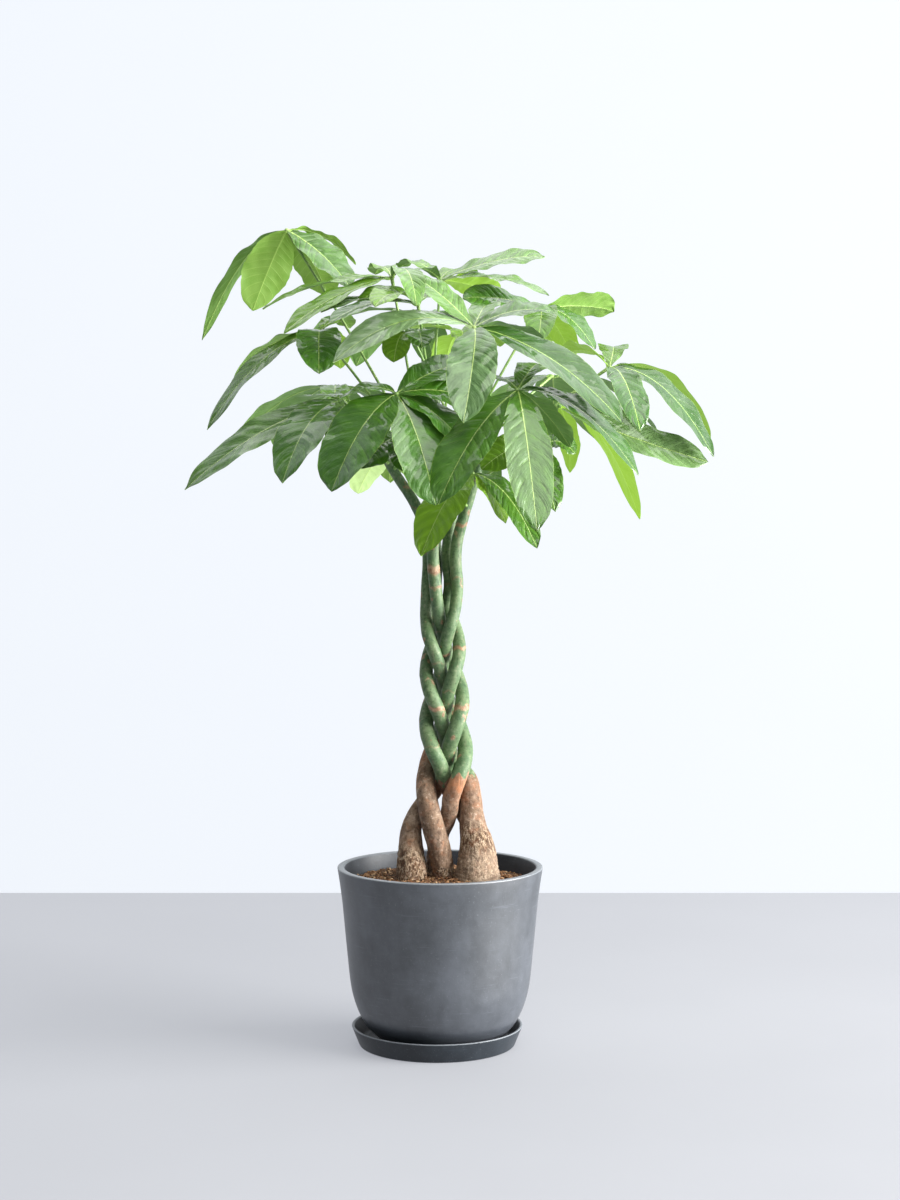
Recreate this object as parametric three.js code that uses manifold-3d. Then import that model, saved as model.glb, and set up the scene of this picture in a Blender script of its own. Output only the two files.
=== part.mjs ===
import * as THREE from 'three';
import { mergeVertices } from 'three/addons/utils/BufferGeometryUtils.js';
import Module from 'manifold-3d';

// A potted money tree: five braided stems in a round pot on a saucer, under a crown of palmate leaves.
// Millimetres, +Z up. The origin is the middle of the saucer's flat underside, and the front faces -Y.

// Saucer
const saucerRimRadius = 128.6;
const saucerFootRadius = 116.5;
const saucerHeight = 29.8;
const saucerWall = 4.3;
const saucerFloor = 5;
const saucerCorner = 2;
const rimSoft = 1.5;

// Pot, standing a little to the right of the saucer's middle
const potAcross = 4.5;
const potWall = 10.5;
const potFloor = 12;
const drainHoleRadius = 12;
const potSegments = 32;
const seatGap = 0.3;

// Soil
const soilEdgeHigh = 243;
const soilMiddleHigh = 253;

// Braid: where each stem swings furthest right, and how tall one full swing is
const braidFirstSwingHigh = 677;
const braidSwingStep = 77;
const braidStems = 5;
const braidSwingTall = braidSwingStep * braidStems;
const braidClearance = 0.6;
const braidReachFactor = 1.05;
const braidPointSpacing = 24;
const braidUpper = { high: 650, radius: 9.1, across: 7 };
const braidLower = { high: 420, radius: 11.8, across: 13.8 };
const braidAcrossSharpness = 0.175;
const braidDepthFactor = 1.15;
const braidDepthSharpness = 0.1;
const buriedEndHigh = 140;
const stemSides = 9;
const heightSearchStep = 0.001;

// Leaves
const petioleRadius = 2;
const petioleBaseRadius = 3.4;
const petioleInset = 0.7;
const petioleElbow = 9;
const petioleKneeAt = 0.12;
const petioleKneeLift = 3;
const petioleHalfwayAt = 0.55;
const petioleBaseTaper = 8;
const petioleHubTaper = 12;
const petioleHubSwelling = 0.6;
const petioleSides = 5;
const petioleSteps = 6;
const hubRadius = 3.6;
const bladeThickness = 2;
const bladeFold = 0.16;
const bladeWidestShift = 1.3;
const bladeRoundness = 0.55;
const bladeLeastFullness = 0.05;
const bladeLeastThickness = 0.3;
const bladeSides = 4;
const bladeSteps = 4;

// Leaf points are given as (across, deep, high) as seen from in front at eye level,
// so a point's depth moves it along its own line of sight.
const eyeAcross = 19;
const eyeAway = 3200;
const eyeHigh = 820;

const colours = {
  saucer: '#3c3f44',
  pot: '#4b4f54',
  soil: '#8a6a45',
  stem: '#6f8a58',
  leaf: '#3f7d3a',
};

const wasm = await Module();
wasm.setup();

function seen(across, deep, high) {
  const spread = 1 + deep / eyeAway;
  return new THREE.Vector3(
    eyeAcross + (across - eyeAcross) * spread,
    deep,
    eyeHigh + (high - eyeHigh) * spread,
  );
}

function onlyPositions(geometry) {
  geometry.deleteAttribute('normal');
  geometry.deleteAttribute('uv');
  return mergeVertices(geometry, 1e-3);
}

function toSolid(geometry) {
  return new wasm.Manifold(new wasm.Mesh({
    numProp: 3,
    vertProperties: new Float32Array(geometry.attributes.position.array),
    triVerts: new Uint32Array(geometry.index.array),
  }));
}

function fromSolid(solid) {
  const mesh = solid.getMesh();
  const geometry = new THREE.BufferGeometry();
  geometry.setAttribute('position', new THREE.BufferAttribute(mesh.vertProperties, mesh.numProp));
  geometry.setIndex(new THREE.BufferAttribute(mesh.triVerts, 1));
  return geometry;
}

function named(name, geometry, colour, roughness) {
  const material = new THREE.MeshStandardMaterial({ color: colour, roughness, metalness: 0 });
  const mesh = new THREE.Mesh(geometry, material);
  mesh.name = name;
  return mesh;
}

// A round body from an outline of [radius, height] pairs, turned about the upright axis at x = across
function turned(outline, segments, across) {
  const points = outline.map(([radius, high]) => new THREE.Vector2(radius, high));
  const geometry = new THREE.LatheGeometry(points, segments);
  geometry.rotateX(Math.PI / 2);
  geometry.translate(across, 0, 0);
  return onlyPositions(geometry);
}

// A cylinder bent so that its rings follow ringAt(t), which gives middle, side, normal, half sizes and fold
function bent(sides, steps, ringAt) {
  const geometry = new THREE.CylinderGeometry(1, 1, 1, sides, steps);
  const position = geometry.attributes.position;
  const point = new THREE.Vector3();
  for (let i = 0; i < position.count; i += 1) {
    const ring = ringAt(position.getY(i) + 0.5);
    const acrossRing = position.getX(i);
    const throughRing = position.getZ(i);
    point.copy(ring.middle);
    point.addScaledVector(ring.side, acrossRing * ring.halfWidth);
    point.addScaledVector(ring.normal, throughRing * ring.halfThick);
    point.addScaledVector(ring.normal, Math.abs(acrossRing) * ring.halfWidth * ring.fold);
    position.setXYZ(i, point.x, point.y, point.z);
  }
  return onlyPositions(geometry);
}

function roundRing(curve, t, radius, reference) {
  const tangent = curve.getTangent(t);
  const normal = reference.clone().addScaledVector(tangent, -tangent.dot(reference)).normalize();
  const side = tangent.clone().cross(normal);
  return { middle: curve.getPoint(t), side, normal, halfWidth: radius, halfThick: radius, fold: 0 };
}

// Saucer: a shallow dish with a flat underside
function saucer() {
  const innerRim = saucerRimRadius - saucerWall;
  const innerFoot = saucerFootRadius - saucerWall;
  const outline = [
    [0, 0],
    [saucerFootRadius - saucerCorner, 0],
    [saucerFootRadius, rimSoft],
    [saucerRimRadius, saucerHeight - rimSoft],
    [saucerRimRadius - rimSoft, saucerHeight],
    [innerRim + rimSoft, saucerHeight],
    [innerRim, saucerHeight - rimSoft],
    [innerFoot, saucerFloor + saucerCorner],
    [innerFoot - saucerCorner, saucerFloor],
    [0, saucerFloor],
  ];
  return named('saucer', turned(outline, potSegments, 0), colours.saucer, 0.7);
}

// Pot: nearly straight sides, a broad round turn into a flat foot, and a drain hole
const potFootHigh = saucerFloor + seatGap;
const potRimHigh = 268.5;
const potRimRadius = 154;
const potOutside = [
  [74, potFootHigh],
  [81, 6.8],
  [90, 11.5],
  [100, 19.5],
  [109, 29],
  [117, 40.5],
  [123.5, 54],
  [128.5, 68],
  [132.2, 82],
  [134.8, 97],
  [140.3, 150],
  [146.8, 218],
  [150.3, 245],
];

// The inside follows the outside at the wall's thickness, down to the floor
function potInside(gap) {
  const thick = potWall + gap;
  return [
    [potRimRadius - thick, potRimHigh],
    [150.3 - thick, 245],
    [146.8 - thick, 218],
    [140.3 - thick, 150],
    [134.8 - thick, 97],
    [130 - thick, 76],
    [121 - thick, 54],
    [108 - thick, 38],
    [93 - thick, 26.5],
    [74 - thick, potFootHigh + potFloor + gap + rimSoft],
    [60 - thick, potFootHigh + potFloor + gap],
  ];
}

function pot() {
  const outline = [
    [drainHoleRadius, potFootHigh],
    ...potOutside,
    [potRimRadius, potRimHigh - rimSoft],
    [potRimRadius - rimSoft, potRimHigh],
    [potRimRadius - potWall + rimSoft, potRimHigh],
    [potRimRadius - potWall, potRimHigh - rimSoft],
    ...potInside(0).slice(1),
    [drainHoleRadius, potFootHigh + potFloor],
    [drainHoleRadius, potFootHigh],
  ];
  return named('pot', turned(outline, potSegments, potAcross), colours.pot, 0.75);
}

// Stems. Each one has hand-set points [across, deep, high, radius] above and below its braided stretch.
const stems = {
  stem_right_shoot: {
    swing: 0,
    braidTop: 655,
    braidFoot: 400,
    above: [
      [30, -1, 690, 9.2],
      [27.5, -4, 730, 8.9],
      [31, -4, 760, 8.5],
      [41, -6, 797, 8.2],
      [52, -8, 833, 8],
      [61, -9, 866, 7.6],
      [68, -9, 900, 7],
    ],
    below: [
      [22.5, 10, 372, 12],
      [37, 28, 348, 12.6],
      [47, 31, 328, 13],
      [50, 33, 302, 13.5],
      [48, 41, 262, 15],
      [48, 42, 230, 15],
      [46, 42, buriedEndHigh, 12],
    ],
  },
  stem_left_brown: {
    swing: 1,
    braidTop: 655,
    braidFoot: 425,
    above: [
      [19, 17.5, 690, 9.2],
      [15, 14, 730, 8.9],
      [20, 17, 780, 8.4],
      [28, 22, 830, 8],
      [33, 24, 880, 7.6],
      [36, 24, 940, 6.8],
    ],
    below: [
      [-17, -6, 392, 14.6],
      [-13, -18.5, 361, 16],
      [-4.5, -20, 326, 16.8],
      [5, -12, 289, 17],
      [7, -3, 262, 17.6],
      [7, -2, 230, 17.6],
      [8, 0, buriedEndHigh, 14],
    ],
  },
  stem_far_left: {
    swing: 2,
    braidTop: 635,
    braidFoot: 425,
    above: [
      [-1.5, -17, 680, 9.4],
      [-6, -15, 730, 9],
      [-5, -14, 765, 8.6],
      [-10, -14, 816, 8.2],
      [-24, -13, 875, 7.6],
      [-37, -12, 930, 6.8],
    ],
    below: [
      [8, 22.5, 398, 12],
      [-3, 25, 381, 12.6],
      [-16, 21, 365, 13.4],
      [-28, 11, 348, 14.2],
      [-38, 0, 326, 15],
      [-39, -6, 289, 19.5],
      [-38, -10, 262, 23],
      [-38, -11, 230, 23],
      [-37, -12, buriedEndHigh, 17],
    ],
  },
  stem_centre_green: {
    swing: 3,
    braidTop: 640,
    braidFoot: 400,
    above: [
      [-15, 1, 680, 9.2],
      [-13, 6, 730, 8.9],
      [-16, 5, 758, 8.6],
      [-22, 4, 786, 8.3],
      [-36, 3, 816, 8],
      [-55, 2, 845, 7.6],
      [-72, 1, 872, 7],
      [-84, 0, 900, 6.4],
    ],
    below: [
      [21, -21, 374, 12.8],
      [19, -12, 357, 12.8],
      [15, 2, 339, 13],
      [5, 14, 316, 13.8],
      [0, 23, 290, 14.6],
      [-2, 33, 262, 16],
      [-2, 34, 230, 16],
      [-2, 34, buriedEndHigh, 12],
    ],
  },
  stem_right_brown: {
    swing: 4,
    braidTop: 625,
    braidFoot: 420,
    above: [
      [-3, 19.5, 655, 9.1],
      [-2, 22, 690, 9.2],
      [-1, 27, 730, 8.9],
      [-5, 31, 780, 8.4],
      [-9, 35, 840, 8],
      [-7, 38, 900, 7.6],
      [-2, 38, 965, 6.8],
    ],
    below: [
      [47, 3, 397, 14],
      [51, 0, 371, 15.8],
      [52, -2, 350, 17.4],
      [54, -6, 326, 20.4],
      [59, -9, 302, 25.6],
      [60, -10, 275, 30.4],
      [60, -11, 252, 34.4],
      [60, -11, 230, 34.4],
      [58, -11, buriedEndHigh, 24],
    ],
  },
};

function alongBraid(high, upper, lower) {
  return THREE.MathUtils.mapLinear(high, braidUpper.high, braidLower.high, upper, lower);
}

// The strand's place in the plait: a wide figure of eight seen from above
function braidPoint(swing, high) {
  const radius = alongBraid(high, braidUpper.radius, braidLower.radius);
  const reach = (2 * radius + braidClearance) * braidReachFactor;
  const furthestRight = braidFirstSwingHigh - swing * braidSwingStep;
  const turn = ((furthestRight - high) / braidSwingTall) * 2 * Math.PI;
  const middle = alongBraid(high, braidUpper.across, braidLower.across);
  const across = middle + reach * (Math.cos(turn) + braidAcrossSharpness * Math.cos(3 * turn));
  const deep = -reach * (braidDepthFactor * Math.sin(2 * turn) + braidDepthSharpness * Math.sin(4 * turn));
  return [across, deep, high, radius];
}

function stemPoints(stem) {
  const braided = [];
  const steps = Math.round((stem.braidTop - stem.braidFoot) / braidPointSpacing);
  for (let i = 0; i <= steps; i += 1) {
    braided.push(braidPoint(stem.swing, THREE.MathUtils.lerp(stem.braidTop, stem.braidFoot, i / steps)));
  }
  return [...stem.above.toReversed(), ...braided, ...stem.below];
}

// A stem's middle line and its radius at any height, the points running from the tip down
function stemShape(stem) {
  const points = stemPoints(stem);
  const curve = new THREE.CatmullRomCurve3(
    points.map(([across, deep, high]) => new THREE.Vector3(across, deep, high)),
    false,
    'centripetal',
  );
  const radiusAt = (t) => {
    const place = t * (points.length - 1);
    const index = Math.min(Math.floor(place), points.length - 2);
    return THREE.MathUtils.lerp(points[index][3], points[index + 1][3], place - index);
  };
  const placeAtHeight = (high) => {
    let t = 0;
    while (t < 1 && curve.getPoint(t).z > high) {
      t += heightSearchStep;
    }
    return t;
  };
  return { curve, radiusAt, placeAtHeight, steps: points.length - 1 };
}

const upright = new THREE.Vector3(0, 0, 1);
const away = new THREE.Vector3(0, 1, 0);

// The stem as it is, or grown by extra all round to make the space it stands in
function stemBody(shape, extra) {
  return bent(stemSides, shape.steps, (t) => {
    const ring = roundRing(shape.curve, t, shape.radiusAt(t) + extra, away);
    if (Math.round(t * shape.steps) === shape.steps) {
      ring.middle.z -= extra;
    }
    return ring;
  });
}

const stemShapes = Object.fromEntries(
  Object.entries(stems).map(([name, stem]) => [name, stemShape(stem)]),
);

// Soil: fills the pot to a little below its rim, with a socket around each stem's buried end
function soil() {
  const inside = potInside(seatGap).filter(([, high]) => high < soilEdgeHigh);
  const outline = [
    [0, soilMiddleHigh],
    [70, soilMiddleHigh - 2],
    [115, soilEdgeHigh + 4],
    [138, soilEdgeHigh],
    ...inside,
    [0, inside[inside.length - 1][1]],
  ];
  let body = toSolid(turned(outline.toReversed(), potSegments, potAcross));
  for (const shape of Object.values(stemShapes)) {
    body = body.subtract(toSolid(stemBody(shape, seatGap)));
  }
  return named('soil', fromSolid(body.simplify(0.05)), colours.soil, 1);
}

// Leaves. A leaf has the stem and height that carry it, its hub, and its blades with their tips.
// rise lifts a blade's middle above the straight line from hub to tip, and sway moves it sideways. lean turns
// a sideways blade's upper face to the front, in degrees.
const leaves = {
  leaf_top_left: {
    stem: 'stem_far_left', at: 921, hub: [-222, 0, 1215], bow: 6,
    blades: [
      { tip: [-348, 110, 1056], rise: 38, width: 34, lean: 0 },
      { tip: [-273, 40, 1097], rise: 12, width: 76, lean: -36 },
      { tip: [-160, 76, 1119], rise: 8, width: 70, lean: -30 },
      { tip: [-127, -40, 1131], rise: 8, width: 62, lean: 34 },
      { tip: [-120, 60, 1166], rise: 16, width: 26, lean: -10 },
    ],
  },
  leaf_upper_left: {
    stem: 'stem_far_left', at: 906, hub: [-67, -60, 1146], bow: 4,
    blades: [
      { tip: [-258, -80, 1104], rise: 12, width: 42, lean: 16 },
      { tip: [-227, -150, 1067], rise: 12, width: 46, lean: 20 },
      { tip: [-92, 30, 1152], rise: 12, width: 38, lean: 0 },
      { tip: [-30, -185, 1107], rise: 28, width: 40, lean: 0 },
      { tip: [-14, -62, 1134], rise: 14, width: 34, lean: 0 },
    ],
  },
  leaf_crown_left: {
    stem: 'stem_right_brown', at: 948, hub: [-28, -90, 1106], bow: 4,
    blades: [
      { tip: [-92, -205, 1106], rise: 16, width: 48, lean: 10 },
      { tip: [-118, -104, 1108], rise: 20, width: 36, lean: 20 },
      { tip: [-172, -120, 1095], rise: 14, width: 42, lean: 12 },
      { tip: [-160, -176, 1080], rise: 14, width: 44, lean: 12 },
      { tip: [24, -30, 1112], rise: 12, width: 40, lean: 0 },
    ],
  },
  leaf_crown_front: {
    stem: 'stem_left_brown', at: 930, hub: [55, -150, 1072], bow: 4,
    blades: [
      { tip: [-154, -200, 1022], rise: 32, width: 66, lean: 28 },
      { tip: [-33, -120, 1147], rise: 6, width: 52, lean: 30 },
      { tip: [78, -30, 1104], rise: 12, width: 46, lean: 0 },
      { tip: [176, -130, 1095], rise: 12, width: 56, lean: 24 },
      { tip: [276, -220, 937], rise: 22, width: 74, lean: 26 },
      { tip: [39, -262, 936], rise: 24, width: 70, lean: 0, sway: 12 },
      { tip: [156, -84, 1052], rise: 10, width: 52, lean: 0 },
    ],
  },
  leaf_front_left: {
    stem: 'stem_centre_green', at: 892, hub: [-60, -170, 974], bow: 4,
    blades: [
      { tip: [-157, -240, 831], rise: 22, width: 102, lean: 26 },
      { tip: [-2, -220, 812], rise: 20, width: 78, lean: 36 },
      { tip: [-147, -160, 964], rise: 14, width: 46, lean: 20 },
      { tip: [100, -148, 940], rise: 18, width: 66, lean: 40 },
      { tip: [46, -96, 1020], rise: 8, width: 66, lean: 30 },
      { tip: [60, -166, 876], rise: 16, width: 66, lean: 34 },
    ],
  },
  leaf_front_right: {
    stem: 'stem_right_shoot', at: 884, hub: [120, -180, 980], bow: 4,
    blades: [
      { tip: [2, -268, 812], rise: 18, width: 80, lean: 26 },
      { tip: [149, -290, 774], rise: 28, width: 66, lean: 0 },
      { tip: [300, -220, 856], rise: 32, width: 58, lean: 20 },
      { tip: [152, -62, 1020], rise: 10, width: 48, lean: 0 },
      { tip: [92, -90, 996], rise: 8, width: 36, lean: 0 },
      { tip: [198, -112, 898], rise: 12, width: 48, lean: 0 },
    ],
  },
  leaf_far_left: {
    stem: 'stem_centre_green', at: 872, hub: [-139, -60, 964], bow: 8,
    blades: [
      { tip: [-375, -90, 834], rise: 20, width: 66, lean: 38 },
      { tip: [-230, -176, 847], rise: 26, width: 88, lean: 12 },
      { tip: [-212, 50, 950], rise: 14, width: 52, lean: 10 },
      { tip: [-136, -130, 868], rise: 14, width: 50, lean: 0 },
    ],
  },
  leaf_mid_left: {
    stem: 'stem_far_left', at: 888, hub: [-173, 10, 1066], bow: 6,
    blades: [
      { tip: [-341, -20, 925], rise: 30, width: 50, lean: 26 },
      { tip: [-175, -110, 1008], rise: 20, width: 66, lean: 0 },
      { tip: [-143, 84, 1012], rise: 16, width: 48, lean: 0 },
      { tip: [-128, 92, 1072], rise: 14, width: 44, lean: 0 },
      { tip: [-304, 60, 998], rise: 20, width: 48, lean: 6 },
    ],
  },
  leaf_far_right: {
    stem: 'stem_right_shoot', at: 868, hub: [256, -20, 1013], bow: 8,
    blades: [
      { tip: [406, 64, 903], rise: 38, width: 58, lean: -8 },
      { tip: [411, -60, 887], rise: 34, width: 58, lean: 26 },
      { tip: [302, -126, 920], rise: 24, width: 54, lean: 0 },
      { tip: [256, 96, 1038], rise: 16, width: 46, lean: 0 },
      { tip: [190, 34, 1034], rise: 14, width: 52, lean: -24 },
    ],
  },
  leaf_upper_right: {
    stem: 'stem_left_brown', at: 914, hub: [153, 60, 1100], bow: 6,
    blades: [
      { tip: [262, 140, 1099], rise: 4, width: 64, lean: -40 },
      { tip: [234, 24, 1040], rise: 18, width: 52, lean: 18 },
      { tip: [160, 176, 1044], rise: 20, width: 52, lean: 0 },
      { tip: [38, 20, 1118], rise: 5, width: 58, lean: 34 },
      { tip: [150, -64, 1050], rise: 20, width: 48, lean: 0 },
      { tip: [202, 118, 1030], rise: 14, width: 54, lean: 0 },
    ],
  },
  leaf_top: {
    stem: 'stem_right_brown', at: 960, hub: [5, 60, 1142], bow: 4,
    blades: [
      { tip: [160, 70, 1180], rise: 8, width: 50, lean: 26 },
      { tip: [166, 0, 1121], rise: 14, width: 50, lean: 14 },
      { tip: [54, 160, 1146], rise: 14, width: 46, lean: 0 },
      { tip: [-56, 110, 1160], rise: 16, width: 44, lean: 10 },
      { tip: [-40, 10, 1150], rise: 12, width: 40, lean: 0 },
      { tip: [92, 112, 1122], rise: 4, width: 56, lean: -24 },
    ],
  },
  leaf_crown_core: {
    stem: 'stem_right_brown', at: 932, hub: [34, 44, 1064], bow: 2,
    blades: [
      { tip: [12, 130, 1000], rise: 14, width: 52, lean: 0 },
      { tip: [50, 136, 1000], rise: 14, width: 48, lean: 0 },
      { tip: [94, 120, 1044], rise: 14, width: 46, lean: 0 },
      { tip: [-70, 20, 1060], rise: 12, width: 44, lean: 0 },
      { tip: [40, -50, 1050], rise: 10, width: 36, lean: 0 },
    ],
  },
  leaf_crown_small: {
    stem: 'stem_left_brown', at: 918, hub: [-38, -62, 1062], bow: 2,
    blades: [
      { tip: [-64, -106, 1022], rise: 16, width: 50, lean: 0 },
      { tip: [-22, -134, 1042], rise: 14, width: 42, lean: 0 },
      { tip: [-122, -100, 1060], rise: 10, width: 40, lean: 10 },
    ],
  },
  leaf_inner_right: {
    stem: 'stem_right_shoot', at: 848, hub: [152, -90, 896], bow: 6,
    blades: [
      { tip: [66, -110, 862], rise: 12, width: 54, lean: 50 },
      { tip: [176, -150, 802], rise: 18, width: 46, lean: 30 },
      { tip: [206, -100, 886], rise: 12, width: 44, lean: 30 },
      { tip: [120, 20, 870], rise: 14, width: 48, lean: 0 },
    ],
  },
  leaf_low_right: {
    stem: 'stem_right_shoot', at: 810, hub: [53, -54, 856], bow: 2,
    blades: [
      { tip: [149, -112, 747], rise: 22, width: 48, lean: 28 },
      { tip: [102, -84, 782], rise: 14, width: 48, lean: 12 },
      { tip: [-24, -116, 735], rise: 24, width: 74, lean: 22 },
    ],
  },
  leaf_low_left: {
    stem: 'stem_centre_green', at: 850, hub: [-70, 54, 888], bow: 4,
    blades: [
      { tip: [-118, 116, 828], rise: 14, width: 58, lean: 0 },
      { tip: [-24, 130, 836], rise: 14, width: 46, lean: 0 },
      { tip: [-140, 56, 852], rise: 12, width: 40, lean: 0 },
      { tip: [-70, 168, 846], rise: 14, width: 50, lean: 0 },
    ],
  },
  leaf_inner_left: {
    stem: 'stem_centre_green', at: 862, hub: [-42, -78, 914], bow: 4,
    blades: [
      { tip: [-112, -136, 866], rise: 10, width: 62, lean: 30 },
      { tip: [-46, -168, 860], rise: 12, width: 50, lean: 0 },
      { tip: [-130, -60, 892], rise: 3, width: 42, lean: 0 },
      { tip: [16, -120, 880], rise: 10, width: 46, lean: 0 },
    ],
  },
  leaf_right_long: {
    stem: 'stem_left_brown', at: 898, hub: [182, -60, 956], bow: 8,
    blades: [
      { tip: [403, -40, 878], rise: -8, width: 66, lean: 44 },
      { tip: [302, -20, 794], rise: 36, width: 44, lean: -12 },
      { tip: [198, -10, 858], rise: 14, width: 34, lean: 20 },
      { tip: [250, 60, 900], rise: 16, width: 50, lean: 0 },
    ],
  },
  leaf_back_left: {
    stem: 'stem_centre_green', at: 882, hub: [-150, 150, 985], bow: 8,
    blades: [
      { tip: [-300, 190, 900], rise: 26, width: 60, lean: 0 },
      { tip: [-240, 280, 896], rise: 26, width: 66, lean: 0 },
      { tip: [-130, 310, 880], rise: 26, width: 70, lean: 0 },
      { tip: [-46, 250, 916], rise: 20, width: 58, lean: 0 },
      { tip: [-150, 30, 950], rise: 12, width: 46, lean: 0 },
    ],
  },
  leaf_back_low: {
    stem: 'stem_right_brown', at: 880, hub: [0, 176, 950], bow: 6,
    blades: [
      { tip: [-110, 220, 840], rise: 24, width: 60, lean: 0 },
      { tip: [-20, 330, 830], rise: 26, width: 70, lean: 0 },
      { tip: [90, 280, 836], rise: 26, width: 66, lean: 0 },
      { tip: [100, 170, 880], rise: 18, width: 54, lean: 0 },
    ],
  },
  leaf_back_right: {
    stem: 'stem_left_brown', at: 868, hub: [170, 170, 1000], bow: 8,
    blades: [
      { tip: [330, 210, 915], rise: 30, width: 66, lean: 0 },
      { tip: [280, 310, 900], rise: 28, width: 70, lean: 0 },
      { tip: [170, 340, 896], rise: 28, width: 70, lean: 0 },
      { tip: [70, 280, 930], rise: 22, width: 58, lean: 0 },
      { tip: [110, 90, 960], rise: 12, width: 46, lean: 0 },
    ],
  },
  leaf_back_top: {
    stem: 'stem_right_brown', at: 916, hub: [-30, 170, 1090], bow: 6,
    blades: [
      { tip: [-190, 200, 1064], rise: 20, width: 58, lean: 0 },
      { tip: [-120, 300, 1020], rise: 24, width: 66, lean: 0 },
      { tip: [0, 330, 1010], rise: 26, width: 68, lean: 0 },
      { tip: [90, 250, 1050], rise: 20, width: 58, lean: 0 },
      { tip: [-70, 70, 1078], rise: 10, width: 44, lean: 0 },
    ],
  },
};

function bladeBody(hub, blade) {
  const tip = seen(...blade.tip);
  const chord = tip.clone().sub(hub);
  const outward = new THREE.Vector3(chord.x, chord.y, 0).normalize();
  const flatSide = outward.clone().cross(upright);
  const sway = blade.sway ?? 0;
  const control = hub.clone().add(tip).multiplyScalar(0.5).addScaledVector(upright, 2 * blade.rise);
  control.addScaledVector(flatSide, -2 * sway);
  const curve = new THREE.QuadraticBezierCurve3(hub, control, tip);
  const roll = THREE.MathUtils.degToRad(blade.lean) * outward.x;
  return bent(bladeSides, bladeSteps, (t) => {
    const tangent = curve.getTangent(t);
    const normal = flatSide.clone().cross(tangent).normalize().applyAxisAngle(tangent, roll);
    const side = tangent.clone().cross(normal);
    const fullness = Math.max(bladeLeastFullness, Math.sin(Math.PI * t ** bladeWidestShift) ** bladeRoundness);
    const halfThick = (bladeThickness / 2) * Math.max(bladeLeastThickness, fullness);
    const middle = curve.getPoint(t);
    return { middle, side, normal, halfWidth: (blade.width / 2) * fullness, halfThick, fold: bladeFold };
  });
}

// The leaf stalk starts inside its stem, leaves square to it with a swollen base, and runs up to the hub.
// leafBody cuts its end back to the stem's surface.
function petioleBody(leaf, hub) {
  const shape = stemShapes[leaf.stem];
  const t = shape.placeAtHeight(leaf.at);
  const middle = shape.curve.getPoint(t);
  const along = shape.curve.getTangent(t);
  const toHub = hub.clone().sub(middle);
  const outward = toHub.addScaledVector(along, -toHub.dot(along)).normalize();
  const start = middle.clone().addScaledVector(outward, shape.radiusAt(t) * petioleInset);
  const elbow = start.clone().addScaledVector(outward, petioleElbow).addScaledVector(upright, petioleElbow / 3);
  const knee = elbow.clone().lerp(hub, petioleKneeAt).addScaledVector(upright, petioleKneeLift);
  const halfway = elbow.clone().lerp(hub, petioleHalfwayAt).addScaledVector(upright, leaf.bow);
  const curve = new THREE.CatmullRomCurve3([start, elbow, knee, halfway, hub], false, 'centripetal');
  const sideways = new THREE.Vector3().crossVectors(outward, upright);
  return bent(petioleSides, petioleSteps, (s) => {
    const baseSwelling = Math.max(0, 1 - s * petioleBaseTaper);
    const hubSwelling = Math.max(0, 1 - (1 - s) * petioleHubTaper) * petioleHubSwelling;
    const swelling = baseSwelling + hubSwelling;
    const radius = THREE.MathUtils.lerp(petioleRadius, petioleBaseRadius, Math.min(1, swelling));
    return roundRing(curve, s, radius, sideways);
  });
}

function leafBody(name, leaf) {
  const hub = seen(...leaf.hub);
  const knob = new THREE.OctahedronGeometry(hubRadius, 0).translate(hub.x, hub.y, hub.z);
  const carrier = toSolid(stemBody(stemShapes[leaf.stem], seatGap));
  const petiole = toSolid(petioleBody(leaf, hub)).subtract(carrier);
  let body = toSolid(onlyPositions(knob)).add(petiole);
  for (const blade of leaf.blades) {
    body = body.add(toSolid(bladeBody(hub, blade)));
  }
  return named(name, fromSolid(body), colours.leaf, 0.45);
}

const plant = new THREE.Group();
plant.add(saucer(), pot(), soil());
for (const [name, shape] of Object.entries(stemShapes)) {
  plant.add(named(name, stemBody(shape, 0), colours.stem, 0.8));
}
for (const [name, leaf] of Object.entries(leaves)) {
  plant.add(leafBody(name, leaf));
}

export default plant;
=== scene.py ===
import math
import bpy
import numpy as np
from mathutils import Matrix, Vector


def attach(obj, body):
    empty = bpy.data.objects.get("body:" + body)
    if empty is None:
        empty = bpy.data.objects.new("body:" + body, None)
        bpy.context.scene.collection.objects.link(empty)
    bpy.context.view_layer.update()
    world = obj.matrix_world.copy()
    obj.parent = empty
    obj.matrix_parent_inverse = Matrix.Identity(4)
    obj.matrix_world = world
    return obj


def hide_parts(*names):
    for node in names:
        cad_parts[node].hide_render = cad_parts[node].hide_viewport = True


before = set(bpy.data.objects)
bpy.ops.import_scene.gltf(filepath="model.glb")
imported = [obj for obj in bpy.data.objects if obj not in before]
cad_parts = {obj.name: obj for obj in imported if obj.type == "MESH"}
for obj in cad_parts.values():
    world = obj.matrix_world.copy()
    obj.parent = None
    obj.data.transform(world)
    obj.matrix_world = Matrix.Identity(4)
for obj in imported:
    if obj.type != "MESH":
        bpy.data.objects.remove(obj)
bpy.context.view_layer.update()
print("frame loaded:", len(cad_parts), "nodes")

mm = 0.001  # sizes of the pieces are in millimetres, and those of finishes and of the stage in metres


def addObject(name, data):
    made = bpy.data.objects.new(name, data)
    bpy.context.scene.collection.objects.link(made)
    return made


# Camera, first, so that everything is judged through it
camera = {"location": (0.0193, -3.2, 0.820), "pitchDown": 2.73, "lens": 64.5, "sensor": 36}

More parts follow.
